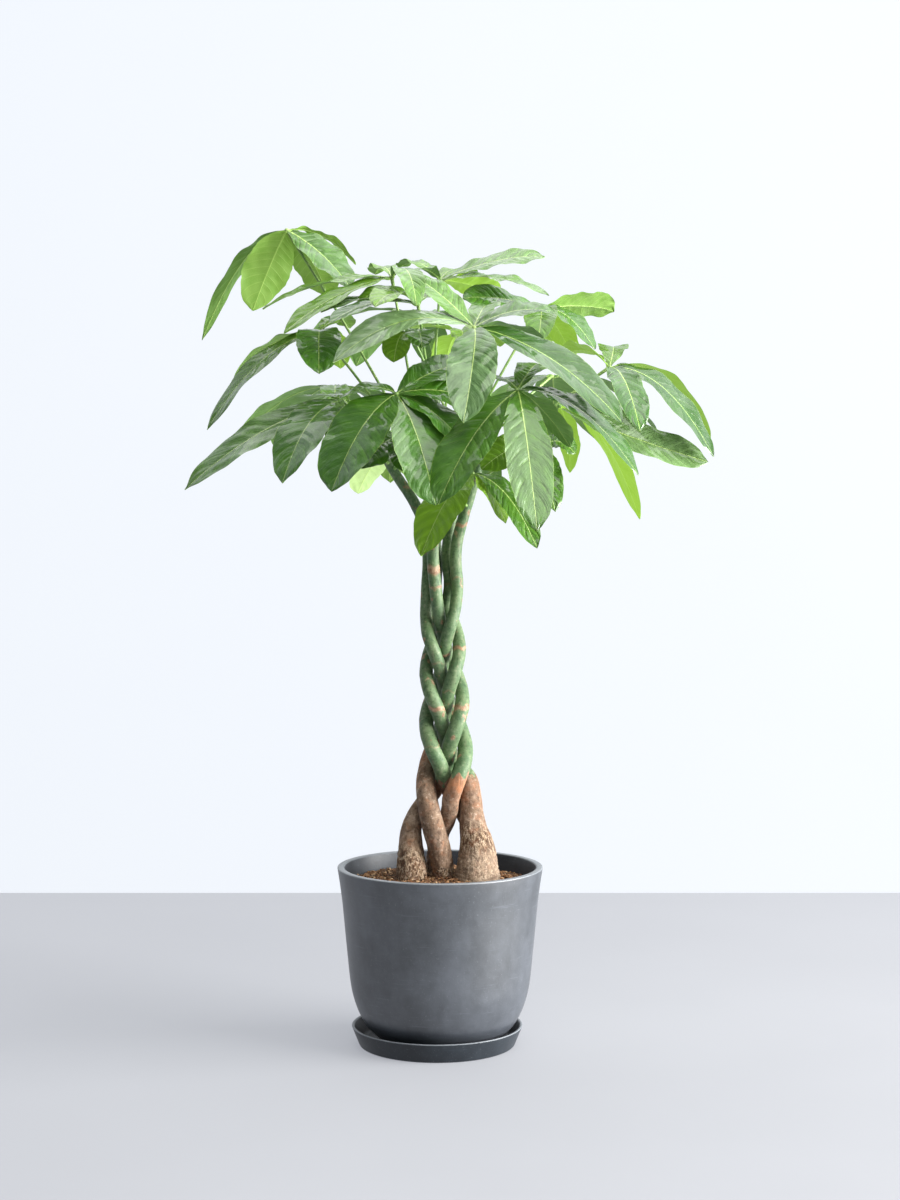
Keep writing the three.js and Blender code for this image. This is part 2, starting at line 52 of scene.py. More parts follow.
cameraData = bpy.data.cameras.new("camera")
cameraData.lens = camera["lens"]
cameraData.sensor_width = camera["sensor"]
cameraObject = addObject("camera", cameraData)
cameraObject.location = camera["location"]
cameraObject.rotation_euler = (math.radians(90 - camera["pitchDown"]), 0, 0)
bpy.context.scene.camera = cameraObject
bpy.context.scene.view_settings.view_transform = "Standard"


# Shader maths as plain expressions: a Wire is one socket, and a Paint is the material that it is in
class Wire:
    def __init__(self, paint, socket):
        self.paint = paint
        self.socket = socket

    def step(self, operation, *values):
        return self.paint.add("ShaderNodeMath", {"operation": operation}, values)

    def __add__(self, other):
        return self.step("ADD", self, other)

    def __radd__(self, other):
        return self.step("ADD", other, self)

    def __sub__(self, other):
        return self.step("SUBTRACT", self, other)

    def __rsub__(self, other):
        return self.step("SUBTRACT", other, self)

    def __mul__(self, other):
        return self.step("MULTIPLY", self, other)

    def __rmul__(self, other):
        return self.step("MULTIPLY", other, self)

    def __truediv__(self, other):
        return self.step("DIVIDE", self, other)

    def __rtruediv__(self, other):
        return self.step("DIVIDE", other, self)

    def __pow__(self, other):
        return self.step("POWER", self, other)

    def __rpow__(self, other):
        return self.step("POWER", other, self)

    def __abs__(self):
        return self.step("ABSOLUTE", self)

    def most(self, other):
        return self.step("MAXIMUM", self, other)

    def fraction(self):
        return self.step("FRACT", self)

    def part(self, axis):
        return self.paint.add("ShaderNodeSeparateXYZ", {}, {0: self}, axis)

    def between(self, low, high):  # from 0 at low to 1 at high, and low may be the larger
        return self.paint.add("ShaderNodeMapRange", {"interpolation_type": "SMOOTHSTEP"}, [self, low, high])


class Paint:
    def __init__(self, name):
        self.material = bpy.data.materials.new(name)
        self.material.use_nodes = True
        self.tree = self.material.node_tree
        self.tree.nodes.clear()

    def add(self, kind, settings, values, output=0):
        node = self.tree.nodes.new(kind)
        for key, value in settings.items():
            if key == "stops":
                for number, (at, colour) in enumerate(value):
                    stops = node.color_ramp.elements
                    stop = stops[number] if number < 2 else stops.new(at)
                    stop.position = at
                    stop.color = (*colour, 1)
            else:
                setattr(node, key, value)
        pairs = values.items() if isinstance(values, dict) else enumerate(values)
        for key, value in pairs:
            if isinstance(value, Wire):
                self.tree.links.new(value.socket, node.inputs[key])
            elif isinstance(value, tuple) and len(value) == 3 and len(node.inputs[key].default_value) == 4:
                node.inputs[key].default_value = (*value, 1)
            else:
                node.inputs[key].default_value = value
        return Wire(self, node.outputs[output])

    def place(self, stretch=(1, 1, 1)):
        spot = self.add("ShaderNodeTexCoord", {}, {}, "Object")
        return self.add("ShaderNodeMapping", {}, {"Vector": spot, "Scale": stretch})

    def joined(self, first, second, third):
        return self.add("ShaderNodeCombineXYZ", {}, [first, second, third])

    def attribute(self, name):
        return self.add("ShaderNodeAttribute", {"attribute_name": name}, {}, "Fac")

    def attributes(self, *names):
        return [self.attribute(name) for name in names]

    def noise(self, place, scale, detail=3.0, roughness=0.55):
        values = {"Vector": place, "Scale": scale, "Detail": detail, "Roughness": roughness}
        return self.add("ShaderNodeTexNoise", {}, values)

    def cells(self, place, scale):
        values = {"Vector": place, "Scale": scale}
        return self.add("ShaderNodeTexVoronoi", {"feature": "F1"}, values, "Distance")

    def blend(self, factor, first, second):
        return self.add("ShaderNodeMix", {"data_type": "RGBA"}, {0: factor, 6: first, 7: second}, 2)

    def bump(self, height, distance, strength, under=None):
        values = {"Height": height, "Distance": distance, "Strength": strength}
        if under is not None:
            values["Normal"] = under
        return self.add("ShaderNodeBump", {}, values)

    def finish(self, **values):
        names = {"baseColour": "Base Color", "roughness": "Roughness", "normal": "Normal",
                 "coat": "Coat Weight", "coatRoughness": "Coat Roughness", "specular": "Specular IOR Level",
                 "glow": "Emission Color", "glowStrength": "Emission Strength"}
        inputs = {names[key]: value for key, value in values.items()}
        return self.output(self.add("ShaderNodeBsdfPrincipled", {}, inputs))

    def output(self, surface):
        end = self.tree.nodes.new("ShaderNodeOutputMaterial")
        self.tree.links.new(surface.socket, end.inputs["Surface"])
        return self.material


# Shared makers
def unit(vectors):
    return vectors / np.linalg.norm(vectors, axis=-1, keepdims=True)


def smooth(values, low, high):
    part = np.clip((values - low) / (high - low), 0, 1)
    return part * part * (3 - 2 * part)


def between(value, low, high, atLow, atHigh):
    return atLow + (atHigh - atLow) * (value - low) / (high - low)


# A centripetal curve through points, with the same spacing rule as the CAD's
def throughPoints(points, places):
    points = np.asarray(points, float)
    last = len(points) - 1
    ends = np.vstack([2 * points[0] - points[1], points, 2 * points[-1] - points[-2]])
    results = []
    for t in places:
        spot = min(t, 1.0) * last
        index = min(int(spot), last - 1)
        weight = spot - index
        p0, p1, p2, p3 = ends[index:index + 4]
        gaps = [max(np.sum((b - a) ** 2) ** 0.25, 1e-6) for a, b in ((p0, p1), (p1, p2), (p2, p3))]
        start = ((p1 - p0) / gaps[0] - (p2 - p0) / (gaps[0] + gaps[1]) + (p2 - p1) / gaps[1]) * gaps[1]
        end = ((p2 - p1) / gaps[1] - (p3 - p1) / (gaps[1] + gaps[2]) + (p3 - p2) / gaps[2]) * gaps[1]
        results.append(
            (2 * weight ** 3 - 3 * weight ** 2 + 1) * p1 + (weight ** 3 - 2 * weight ** 2 + weight) * start
            + (3 * weight ** 2 - 2 * weight ** 3) * p2 + (weight ** 3 - weight ** 2) * end)
    return np.array(results)


def setMark(mesh, name, values):
    mesh.attributes.new(name, "FLOAT", "POINT").data.foreach_set("value", np.asarray(values, np.float32))


# Collects the points and faces of one piece. A face's kind is the number of its material, and marks are
# values at the points that the finishes read.
class Build:
    def __init__(self):
        self.points = []
        self.faces = []
        self.kinds = []
        self.marks = {}
        self.count = 0

    def take(self, points, faces, kind=0, **marks):
        self.points.append(points)
        self.faces.extend([[corner + self.count for corner in face] for face in faces])
        self.kinds.extend(kind if isinstance(kind, list) else [kind] * len(faces))
        for name, values in marks.items():
            self.marks.setdefault(name, []).append((self.count, values))
        self.count += len(points)

    def make(self, name, materials):
        mesh = bpy.data.meshes.new(name)
        mesh.from_pydata(np.vstack(self.points).tolist(), [], self.faces)
        for material in materials:
            mesh.materials.append(material)
        mesh.polygons.foreach_set("material_index", self.kinds)
        mesh.polygons.foreach_set("use_smooth", [True] * len(mesh.polygons))
        for mark, runs in self.marks.items():
            values = np.zeros(self.count, np.float32)
            for first, run in runs:
                values[first:first + len(run)] = run
            setMark(mesh, mark, values)
            if mark == "rim":  # an edge between two rim points is crisp
                ends = np.empty(len(mesh.edges) * 2, np.int32)
                mesh.edges.foreach_get("vertices", ends)
                crisp = values[ends].reshape(-1, 2).min(axis=1) > 0.5
                mesh.attributes.new("sharp_edge", "BOOLEAN", "EDGE").data.foreach_set("value", crisp)
        mesh.update()
        return addObject(name, mesh)


# Geometry Nodes, built in the script
class Tree:
    def __init__(self, name, inputs):
        self.tree = bpy.data.node_groups.new(name, "GeometryNodeTree")
        for way in ("INPUT", "OUTPUT"):
            self.tree.interface.new_socket("Geometry", in_out=way, socket_type="NodeSocketGeometry")
        self.names = {}
        for label, kind in inputs.items():
            socket = self.tree.interface.new_socket(label, in_out="INPUT", socket_type="NodeSocket" + kind)
            self.names[label] = socket.identifier
        self.entry = self.tree.nodes.new("NodeGroupInput")

    def given(self, label):
        return self.entry.outputs[label]

    def add(self, kind, settings, values, output=0):
        node = self.tree.nodes.new(kind)
        for key, value in settings.items():
            setattr(node, key, value)
        for key, value in values.items():
            if isinstance(value, bpy.types.NodeSocket):
                self.tree.links.new(value, node.inputs[key])
            else:
                node.inputs[key].default_value = value
        return node.outputs[output]

    def end(self, geometry, material):
        real = self.add("GeometryNodeRealizeInstances", {}, {"Geometry": geometry})
        done = self.add("GeometryNodeSetMaterial", {}, {"Geometry": real, "Material": material})
        leave = self.tree.nodes.new("NodeGroupOutput")
        self.tree.links.new(done, leave.inputs[0])

    def run(self, source, values):
        modifier = source.modifiers.new("shape", "NODES")
        modifier.node_group = self.tree
        for label, value in values.items():
            modifier[self.names[label]] = value
        bpy.context.view_layer.update()
        evaluated = source.evaluated_get(bpy.context.evaluated_depsgraph_get())
        mesh = bpy.data.meshes.new_from_object(evaluated)
        source.modifiers.remove(modifier)
        return mesh


# A tube along each line of a curve, as thick as the curve's own radius, with lumps that run along it
def tubeTree():
    tree = Tree("tube", {"Sides": "Int", "Lumps": "Float", "Grain": "Float", "Finish": "Material"})
    radius = tree.add("GeometryNodeInputRadius", {}, {})
    line = tree.add("GeometryNodeStoreNamedAttribute", {"data_type": "FLOAT", "domain": "POINT"},
                    {"Geometry": tree.given("Geometry"), "Name": "thick", "Value": radius})
    ring = tree.add("GeometryNodeCurvePrimitiveCircle", {},
                    {"Resolution": tree.given("Sides"), "Radius": 1.0})
    thick = tree.add("GeometryNodeInputNamedAttribute", {"data_type": "FLOAT"}, {"Name": "thick"})
    tube = tree.add("GeometryNodeCurveToMesh", {},
                    {"Curve": line, "Profile Curve": ring, "Scale": thick, "Fill Caps": True})
    spot = tree.add("GeometryNodeInputPosition", {}, {})
    stretched = tree.add("ShaderNodeVectorMath", {"operation": "MULTIPLY"}, {0: spot, 1: (1.0, 1.0, 0.35)})
    noise = tree.add("ShaderNodeTexNoise", {},
                     {"Vector": stretched, "Scale": tree.given("Grain"), "Detail": 4.0})
    centred = tree.add("ShaderNodeMath", {"operation": "SUBTRACT"}, {0: noise, 1: 0.5})
    high = tree.add("ShaderNodeMath", {"operation": "MULTIPLY"}, {0: centred, 1: tree.given("Lumps")})
    thicker = tree.add("ShaderNodeMath", {"operation": "MULTIPLY"}, {0: thick, 1: high})
    normal = tree.add("GeometryNodeInputNormal", {}, {})
    offset = tree.add("ShaderNodeVectorMath", {"operation": "SCALE"}, {0: normal, "Scale": thicker})
    lumpy = tree.add("GeometryNodeSetPosition", {}, {"Geometry": tube, "Offset": offset})
    shaded = tree.add("GeometryNodeSetShadeSmooth", {}, {"Geometry": lumpy})
    tree.end(shaded, tree.given("Finish"))
    return tree


tubes = tubeTree()


def tubeMesh(name, lines, look, finish):
    curve = bpy.data.curves.new(name, "CURVE")
    curve.dimensions = "3D"
    for points, radii in lines:
        spline = curve.splines.new("POLY")
        spline.points.add(len(points) - 1)
        spline.points.foreach_set("co", np.hstack([points, np.ones((len(points), 1))]).ravel())
        spline.points.foreach_set("radius", radii)
    source = addObject(name, curve)
    values = {"Sides": look["sides"], "Lumps": look["lumps"], "Grain": look["grain"], "Finish": finish}
    mesh = tubes.run(source, values)
    bpy.data.objects.remove(source)
    return mesh


def meshPoints(mesh):
    values = np.empty(len(mesh.vertices) * 3)
    mesh.vertices.foreach_get("co", values)
    return values.reshape(-1, 3)


# A round body from an outline of (radius, height) pairs in metres, turned about the line x = across
def turned(build, outline, segments, across):
    turns = np.linspace(0, 2 * math.pi, segments, endpoint=False)
    points = []
    rings = []
    for radius, high in outline:
        first = len(points)
        if radius < 1e-6:
            points.append((across, 0, high))
            rings.append([first] * segments)
        else:
            points.extend((across + radius * math.cos(turn), radius * math.sin(turn), high)
                          for turn in turns)
            rings.append(list(range(first, first + segments)))
    faces = []
    for lower, upper in zip(rings, rings[1:]):
        for here in range(segments):
            after = (here + 1) % segments
            face = [lower[here], lower[after], upper[after], upper[here]]
            face = [corner for number, corner in enumerate(face) if corner not in face[:number]]
            if len(face) > 2:
                faces.append(face)
    build.take(np.array(points), faces)


# Rounds the corners of an outline, each (radius, height, rounding), with five points a corner
def rounded(corners):
    outline = []
    for number, (radius, high, rounding) in enumerate(corners):
        here = np.array([radius, high])
        if rounding == 0 or number in (0, len(corners) - 1):
            outline.append(here)
            continue
        before = np.array(corners[number - 1][:2]) - here
        after = np.array(corners[number + 1][:2]) - here
        start = here + before / np.linalg.norm(before) * min(rounding, np.linalg.norm(before) * 0.5)
        end = here + after / np.linalg.norm(after) * min(rounding, np.linalg.norm(after) * 0.5)
        for step in np.linspace(0, 1, 5):
            outline.append((1 - step) ** 2 * start + 2 * step * (1 - step) * here + step ** 2 * end)
    return [tuple(point * mm) for point in outline]


def settle(piece, slot, *nodes):
    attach(piece, "root")
    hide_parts(*nodes)


# Pot and saucer. The pot's side is (radius, height) from the bottom up, and its inside from the top down,
# before the wall is taken off. Above insideFrom the inside has its own finish, darker and duller: painted
# shade inside the pot.
potSizes = {
    "across": 4.5, "rim": 154.0, "rimHigh": 268.5, "wall": 10.5, "foot": 5.3, "floor": 12.0, "drain": 12.0,
    "lipSoft": 2.2, "insideSoft": 6, "drainSoft": 1.5, "segments": 144, "sideSteps": 60,
    "side": [(74, 5.3), (81, 6.8), (90, 11.5), (100, 19.5), (109, 29), (117, 40.5), (123.5, 54),
             (128.5, 68), (132.2, 82), (134.8, 97), (140.3, 150), (146.8, 218), (150.3, 245)],
    "inside": [(150.3, 245), (146.8, 218), (140.3, 150), (134.8, 97), (130, 76), (121, 54), (108, 38),
               (93, 26.5), (74, 18.8), (60, 17.3)],
    "insideFrom": 230,
    "outerFinish": {"dark": (0.026, 0.031, 0.038), "light": (0.070, 0.079, 0.095), "shine": 1.0},
    # painted shade: the inside is darker and less shiny than the outside
    "innerShadedFinish": {"dark": (0.024, 0.028, 0.035), "light": (0.052, 0.059, 0.071), "shine": 0.25},
}
saucerSizes = {
    "rim": 128.6, "foot": 116.5, "high": 29.8, "wall": 4.3, "floor": 5.0, "lipSoft": 1.9, "footSoft": 3.0,
    "floorSoft": 6.0, "segments": 144,
    "finish": {"dark": (0.006, 0.009, 0.013), "light": (0.019, 0.026, 0.034), "shine": 0.5},
}
slateLook = {"scratchLift": 1.6, "dustAndSheen": (0.24, 0.25, 0.27), "wearAndHighlight": (0.20, 0.218, 0.24),
             "wearAndHighlightFrom": 0.0018, "wearAndHighlightTo": 0.0006, "roughness": 0.40}


# Satin dark grey with a soft mottle, faint turning marks and a paler lip that is partly wear and partly a
# painted highlight
def slate(name, look, rimHigh):
    paint = Paint(name)
    place = paint.place()
    broad = paint.noise(place, scale=13, detail=6, roughness=0.62)
    fine = paint.noise(place, scale=60, detail=6, roughness=0.68)
    dustAndSheen = paint.noise(place, scale=420, detail=2)
    upright = paint.noise(paint.place((1, 1, 0.3)), scale=20, detail=5, roughness=0.65)
    scratch = paint.noise(paint.place((1, 1, 22)), scale=15, detail=3, roughness=0.7)
    mottle = broad.between(0.34, 0.68) * 0.45 + upright.between(0.36, 0.66) * 0.3
    mottle = mottle + fine.between(0.38, 0.68) * 0.25
    body = paint.blend(mottle, look["dark"], look["light"])
    lifted = tuple(part * slateLook["scratchLift"] for part in look["light"])
    body = paint.blend(scratch.between(0.60, 0.72) * 0.35, body, lifted)
    body = paint.blend(dustAndSheen.between(0.62, 0.8) * 0.3, body, slateLook["dustAndSheen"])
    # the lip band, partly wear and partly a painted highlight where the rim catches light
    lip = place.part(2).between(rimHigh - slateLook["wearAndHighlightFrom"], rimHigh - slateLook["wearAndHighlightTo"])
    body = paint.blend(lip * (0.45 + fine * 0.5), body, slateLook["wearAndHighlight"])
    normal = paint.bump(fine * 0.7 + dustAndSheen * 0.3, distance=0.0007, strength=0.35)
    normal = paint.bump(scratch, distance=0.0002, strength=0.25, under=normal)
    roughness = slateLook["roughness"] + fine * 0.12 - broad * 0.06
    return paint.finish(baseColour=body, roughness=roughness, normal=normal, specular=look["shine"])


def makePot():
    line = [(radius, high, 0) for radius, high in potSizes["side"]]
    side = throughPoints(line, np.linspace(0, 1, potSizes["sideSteps"]))[:, :2]
    wall = potSizes["wall"]
    rim = potSizes["rim"]
    top = potSizes["rimHigh"]
    foot = potSizes["foot"]
    drain = potSizes["drain"]
    corners = [(drain, foot, 0)]
    corners += [(radius, high, 0) for radius, high in side]
    corners += [(rim, top, potSizes["lipSoft"]), (rim - wall, top, potSizes["lipSoft"])]
    corners += [(radius - wall, high, potSizes["insideSoft"]) for radius, high in potSizes["inside"]]
    corners += [(drain, foot + potSizes["floor"], potSizes["drainSoft"]), (drain, foot, 0)]
    build = Build()
    turned(build, rounded(corners), potSizes["segments"], potSizes["across"] * mm)
    middles = np.array([np.mean(build.points[0][face], axis=0) for face in build.faces]) / mm
    reach = np.hypot(middles[:, 0] - potSizes["across"], middles[:, 1])
    # the faces inside, above insideFrom, take the painted shade
    inside = (reach < rim - wall * 0.7) & (middles[:, 2] > potSizes["insideFrom"])
    build.kinds = inside.astype(int).tolist()
    outer = slate("potSlate", potSizes["outerFinish"], top * mm)
    inner = slate("potInsideShadedSlate", potSizes["innerShadedFinish"], top * mm)
    settle(build.make("potShell", [outer, inner]), "pot", "pot")


def makeSaucer():
    rim = saucerSizes["rim"]
    foot = saucerSizes["foot"]
    wall = saucerSizes["wall"]
    high = saucerSizes["high"]
    soft = saucerSizes["lipSoft"]
    floor = saucerSizes["floor"]
    corners = [(0, 0, 0), (foot, 0, saucerSizes["footSoft"]), (rim, high, soft), (rim - wall, high, soft),
               (foot - wall, floor, saucerSizes["floorSoft"]), (0, floor, 0)]
    build = Build()
    turned(build, rounded(corners), saucerSizes["segments"], 0)
    finish = slate("saucerSlate", saucerSizes["finish"], high * mm)
    settle(build.make("saucerDish", [finish]), "saucer", "saucer")


makePot()
makeSaucer()
print("pot and saucer made")


# Stems. Points are (across, deep, high, radius), above and below the braided stretch, and rings are leaf
# scars as (high, how tall, how strong). Below brownBelow the bark is brown, and young is how orange it
# is just there.
stemPoints = {
    "stem_right_shoot": {
        "swing": 0, "top": 655, "foot": 400, "brownBelow": 396, "young": 0.3,
        "above": [(30, -1, 690, 9.2), (27.5, -4, 730, 8.9), (31, -4, 760, 8.5), (41, -6, 797, 8.2),
                  (52, -8, 833, 8), (61, -9, 866, 7.6), (68, -9, 900, 7)],
        "below": [(22.5, 10, 372, 12), (37, 28, 348, 12.6), (47, 31, 328, 13), (50, 33, 302, 13.5),
                  (48, 41, 262, 15), (48, 42, 230, 15), (46, 42, 140, 12)],
        "rings": [(779, 3.5, 0.9), (700, 3, 0.5), (586, 3, 0.8), (846, 3, 0.5), (452, 3, 0.5)],
    },
    "stem_left_brown": {
        "swing": 1, "top": 655, "foot": 425, "brownBelow": 458, "young": 0.9,
        "above": [(19, 17.5, 690, 9.2), (15, 14, 730, 8.9), (20, 17, 780, 8.4), (28, 22, 830, 8),
                  (33, 24, 880, 7.6), (36, 24, 940, 6.8)],
        "below": [(-17, -6, 392, 14.6), (-13, -18.5, 361, 16), (-4.5, -20, 326, 16.8),
                  (5, -12, 289, 17), (7, -3, 262, 17.6), (7, -2, 230, 17.6), (8, 0, 140, 14)],
        "rings": [(597, 3, 0.9), (690, 3, 0.5), (533, 2.5, 0.5)],
    },
    "stem_far_left": {
        "swing": 2, "top": 635, "foot": 425, "brownBelow": 402, "young": 0.5,
        "above": [(-1.5, -17, 680, 9.4), (-6, -15, 730, 9), (-5, -14, 765, 8.6),
                  (-10, -14, 816, 8.2), (-24, -13, 875, 7.6), (-37, -12, 930, 6.8)],
        "below": [(8, 22.5, 398, 12), (-3, 25, 381, 12.6), (-16, 21, 365, 13.4),
                  (-28, 11, 348, 14.2), (-38, 0, 326, 15), (-39, -6, 289, 19.5),
                  (-38, -10, 262, 23), (-38, -11, 230, 23), (-37, -12, 140, 17)],
        "rings": [(713, 8, 0.9), (687, 3, 0.8), (509, 5, 0.9), (620, 2.5, 0.5), (820, 3, 0.6)],
    },
    "stem_centre_green": {
        "swing": 3, "top": 640, "foot": 400, "brownBelow": 409, "young": 1.0,
        "above": [(-15, 1, 680, 9.2), (-13, 6, 730, 8.9), (-16, 5, 758, 8.6), (-22, 4, 786, 8.3),
                  (-36, 3, 816, 8), (-55, 2, 845, 7.6), (-72, 1, 872, 7), (-84, 0, 900, 6.4)],
        "below": [(21, -21, 374, 12.8), (19, -12, 357, 12.8), (15, 2, 339, 13), (5, 14, 316, 13.8),
                  (0, 23, 290, 14.6), (-2, 33, 262, 16), (-2, 34, 230, 16), (-2, 34, 140, 12)],
        "rings": [(508, 3, 0.6), (575, 2.5, 0.5), (806, 3, 0.6)],
    },
    "stem_right_brown": {
        "swing": 4, "top": 625, "foot": 420, "brownBelow": 404, "young": 0.2,
        "above": [(-3, 19.5, 655, 9.1), (-2, 22, 690, 9.2), (-1, 27, 730, 8.9), (-5, 31, 780, 8.4),
                  (-9, 35, 840, 8), (-7, 38, 900, 7.6), (-2, 38, 965, 6.8)],
        "below": [(47, 3, 397, 14), (51, 0, 371, 15.8), (52, -2, 350, 17.4), (54, -6, 326, 20.4),
                  (59, -9, 302, 25.6), (60, -10, 275, 30.4), (60, -11, 252, 34.4),
                  (60, -11, 230, 34.4), (58, -11, 140, 24)],
        "rings": [(508, 4, 0.9), (640, 3, 0.5), (446, 3, 0.5)],
    },
}
# In the braid the stems swing in turn, each one swingStep lower than the one before
braid = {
    "firstSwing": 677, "swingStep": 77, "stems": 5, "clearance": 0.6, "reachFactor": 1.05, "spacing": 24,
    "high": 650, "low": 420, "radiusHigh": 9.1, "radiusLow": 11.8, "middleHigh": 7, "middleLow": 13.8,
    "outward": 0.175, "depth": 1.15, "depthSharp": 0.1,
}
stemLook = {
    "step": 3.0, "sides": 30, "lumps": 0.16, "grain": 75.0, "knobs": 1.1, "knobsBelow": 305,
    "knobsOver": 20, "ringSwell": 0.035, "endsAt": 200, "tipReach": (1.6, 0.8), "tipThick": (0.35, 0.8),
    "brownOver": 14, "youngTall": 17, "scar": 0.85, "ringWobble": 0.25,
    "wobbleWaves": (0.45, 0.6), "wobbleSizes": (5, 4), "wobbleShift": 1.3,
}
barkColours = {
    "green": ((0.070, 0.133, 0.057), (0.118, 0.182, 0.083)),
    "greenPale": (0.27, 0.29, 0.19),
    "greenDark": (0.028, 0.060, 0.024),
    "greenStreak": (0.21, 0.19, 0.12),
    "brown": ((0.185, 0.118, 0.074), (0.30, 0.215, 0.155)),
    "brownPatch": (0.30, 0.135, 0.068),
    "brownStreak": (0.115, 0.072, 0.045),
    "brownPale": (0.47, 0.37, 0.29),
    "brownDark": (0.065, 0.036, 0.022),
    "young": (0.44, 0.185, 0.085),
    "foot": ((0.088, 0.037, 0.017), (0.37, 0.245, 0.145)),
    "footFlake": (0.78, 0.60, 0.43),
    "footDark": (0.07, 0.030, 0.015),
    "footPatch": (0.26, 0.095, 0.040),
    # painted light: the pale foot of the thickest, brightly lit stem
    "footPaintedLight": (0.66, 0.50, 0.37),
    "scar": ((0.24, 0.115, 0.065), (0.39, 0.240, 0.160)),
}
# Where the flaking foot starts, in metres: ragged by thickness less height, and muddy by height alone
barkFoot = {"perThick": 3.2, "ragged": (-0.235, -0.190), "muddy": (0.292, 0.278), "thick": (0.0165, 0.021),
            "paintedLightThick": (0.024, 0.030)}


def bark():
    paint = Paint("bark")
    tones = barkColours
    place = paint.place()
    thick, browned, ringed, orange = paint.attributes("thick", "brown", "scar", "young")
    high = place.part(2)
    cloud = paint.noise(place, scale=34, detail=4)
    speck = paint.noise(place, scale=190, detail=4, roughness=0.65)
    patch = paint.noise(place, scale=85, detail=3, roughness=0.6)
    spot = paint.noise(paint.place((1, 1, 0.8)), scale=62, detail=2, roughness=0.5)
    streak = paint.noise(paint.place((1, 1, 0.2)), scale=150, detail=4, roughness=0.6)
    fibre = paint.noise(paint.place((1, 1, 0.30)), scale=210, detail=6, roughness=0.75)
    flake = paint.noise(paint.place((1, 1, 0.5)), scale=230, detail=4, roughness=0.8)
    brown = (browned + patch * 0.9 - 0.45).between(0.40, 0.60)
    scar = (ringed * (patch * 1.6 + 0.1) + ringed * 0.25).between(0.22, 0.75)
    scar = scar.most(spot.between(0.655, 0.70) * 0.8)

    green = paint.blend(cloud.between(0.34, 0.66), *tones["green"])
    green = paint.blend(speck.between(0.52, 0.72) * 0.6, green, tones["greenPale"])
    green = paint.blend(speck.between(0.47, 0.36) * 0.6, green, tones["greenDark"])
    green = paint.blend(streak.between(0.54, 0.72) * 0.4, green, tones["greenStreak"])
    rough = paint.blend(cloud.between(0.35, 0.65), *tones["brown"])
    rough = paint.blend(patch.between(0.50, 0.64) * 0.55, rough, tones["brownPatch"])
    rough = paint.blend(streak.between(0.40, 0.62) * 0.65, rough, tones["brownStreak"])
    rough = paint.blend(speck.between(0.54, 0.70) * 0.6, rough, tones["brownPale"])
    rough = paint.blend(speck.between(0.46, 0.36) * 0.7, rough, tones["brownDark"])
    rough = paint.blend(orange * (0.4 + patch.between(0.40, 0.56) * 0.45), rough, tones["young"])
    foot = paint.blend(fibre.between(0.40, 0.60), *tones["foot"])
    foot = paint.blend(flake.between(0.50, 0.58) * 0.75, foot, tones["footFlake"])
    foot = paint.blend(flake.between(0.46, 0.38) * 0.8, foot, tones["footDark"])
    foot = paint.blend(patch.between(0.54, 0.66) * 0.5, foot, tones["footPatch"])
    # painted light: the thickest stem's flare, on the lit side, is paler as if brightly lit
    foot = paint.blend(thick.between(*barkFoot["paintedLightThick"]) * 0.40, foot, tones["footPaintedLight"])

    ragged = (thick * barkFoot["perThick"] - high + cloud * 0.10).between(*barkFoot["ragged"])
    muddy = (high + patch * 0.045).between(*barkFoot["muddy"])
    flaking = (ragged * thick.between(*barkFoot["thick"])).most(muddy)
    body = paint.blend(brown, green, paint.blend(flaking, rough, foot))
    scarTone = paint.blend(speck.between(0.40, 0.60), *tones["scar"])
    body = paint.blend(scar * 0.85, body, scarTone)
    relief = (streak * 0.6 + speck * 0.4) * (0.7 + brown * 0.9)
    normal = paint.bump(relief, distance=0.0022, strength=0.75)
    normal = paint.bump((fibre + flake) * flaking, distance=0.008, strength=1.0, under=normal)
    roughness = 0.50 + brown * 0.26 + speck * 0.1
    return paint.finish(baseColour=body, roughness=roughness, normal=normal, specular=0.35)


def braidPoint(swing, high):
    radius = between(high, braid["high"], braid["low"], braid["radiusHigh"], braid["radiusLow"])
    middle = between(high, braid["high"], braid["low"], braid["middleHigh"], braid["middleLow"])
    reach = (2 * radius + braid["clearance"]) * braid["reachFactor"]
    below = braid["firstSwing"] - swing * braid["swingStep"] - high
    turn = below / (braid["swingStep"] * braid["stems"]) * 2 * math.pi
    across = middle + reach * (math.cos(turn) + braid["outward"] * math.cos(3 * turn))
    deep = -reach * (braid["depth"] * math.sin(2 * turn) + braid["depthSharp"] * math.sin(4 * turn))
    return (across, deep, high, radius)


class Stem:
    def __init__(self, points):
        top = points["top"]
        foot = points["foot"]
        steps = round((top - foot) / braid["spacing"])
        braided = [braidPoint(points["swing"], top + (foot - top) * i / steps) for i in range(steps + 1)]
        knots = np.array(list(reversed(points["above"])) + braided + points["below"])
        length = np.linalg.norm(np.diff(knots[:, :3], axis=0), axis=1).sum()
        places = np.linspace(0, 1, int(length / stemLook["step"]))
        self.line = throughPoints(knots[:, :3], places)
        self.radii = np.interp(places * (len(knots) - 1), np.arange(len(knots)), knots[:, 3])

    def at(self, high):
        index = int(np.argmax(self.line[:, 2] <= high))
        along = self.line[min(index + 1, len(self.line) - 1)] - self.line[index - 1]
        return self.line[index], along / np.linalg.norm(along), self.radii[index]


stems = {name: Stem(points) for name, points in stemPoints.items()}
barkFinish = bark()


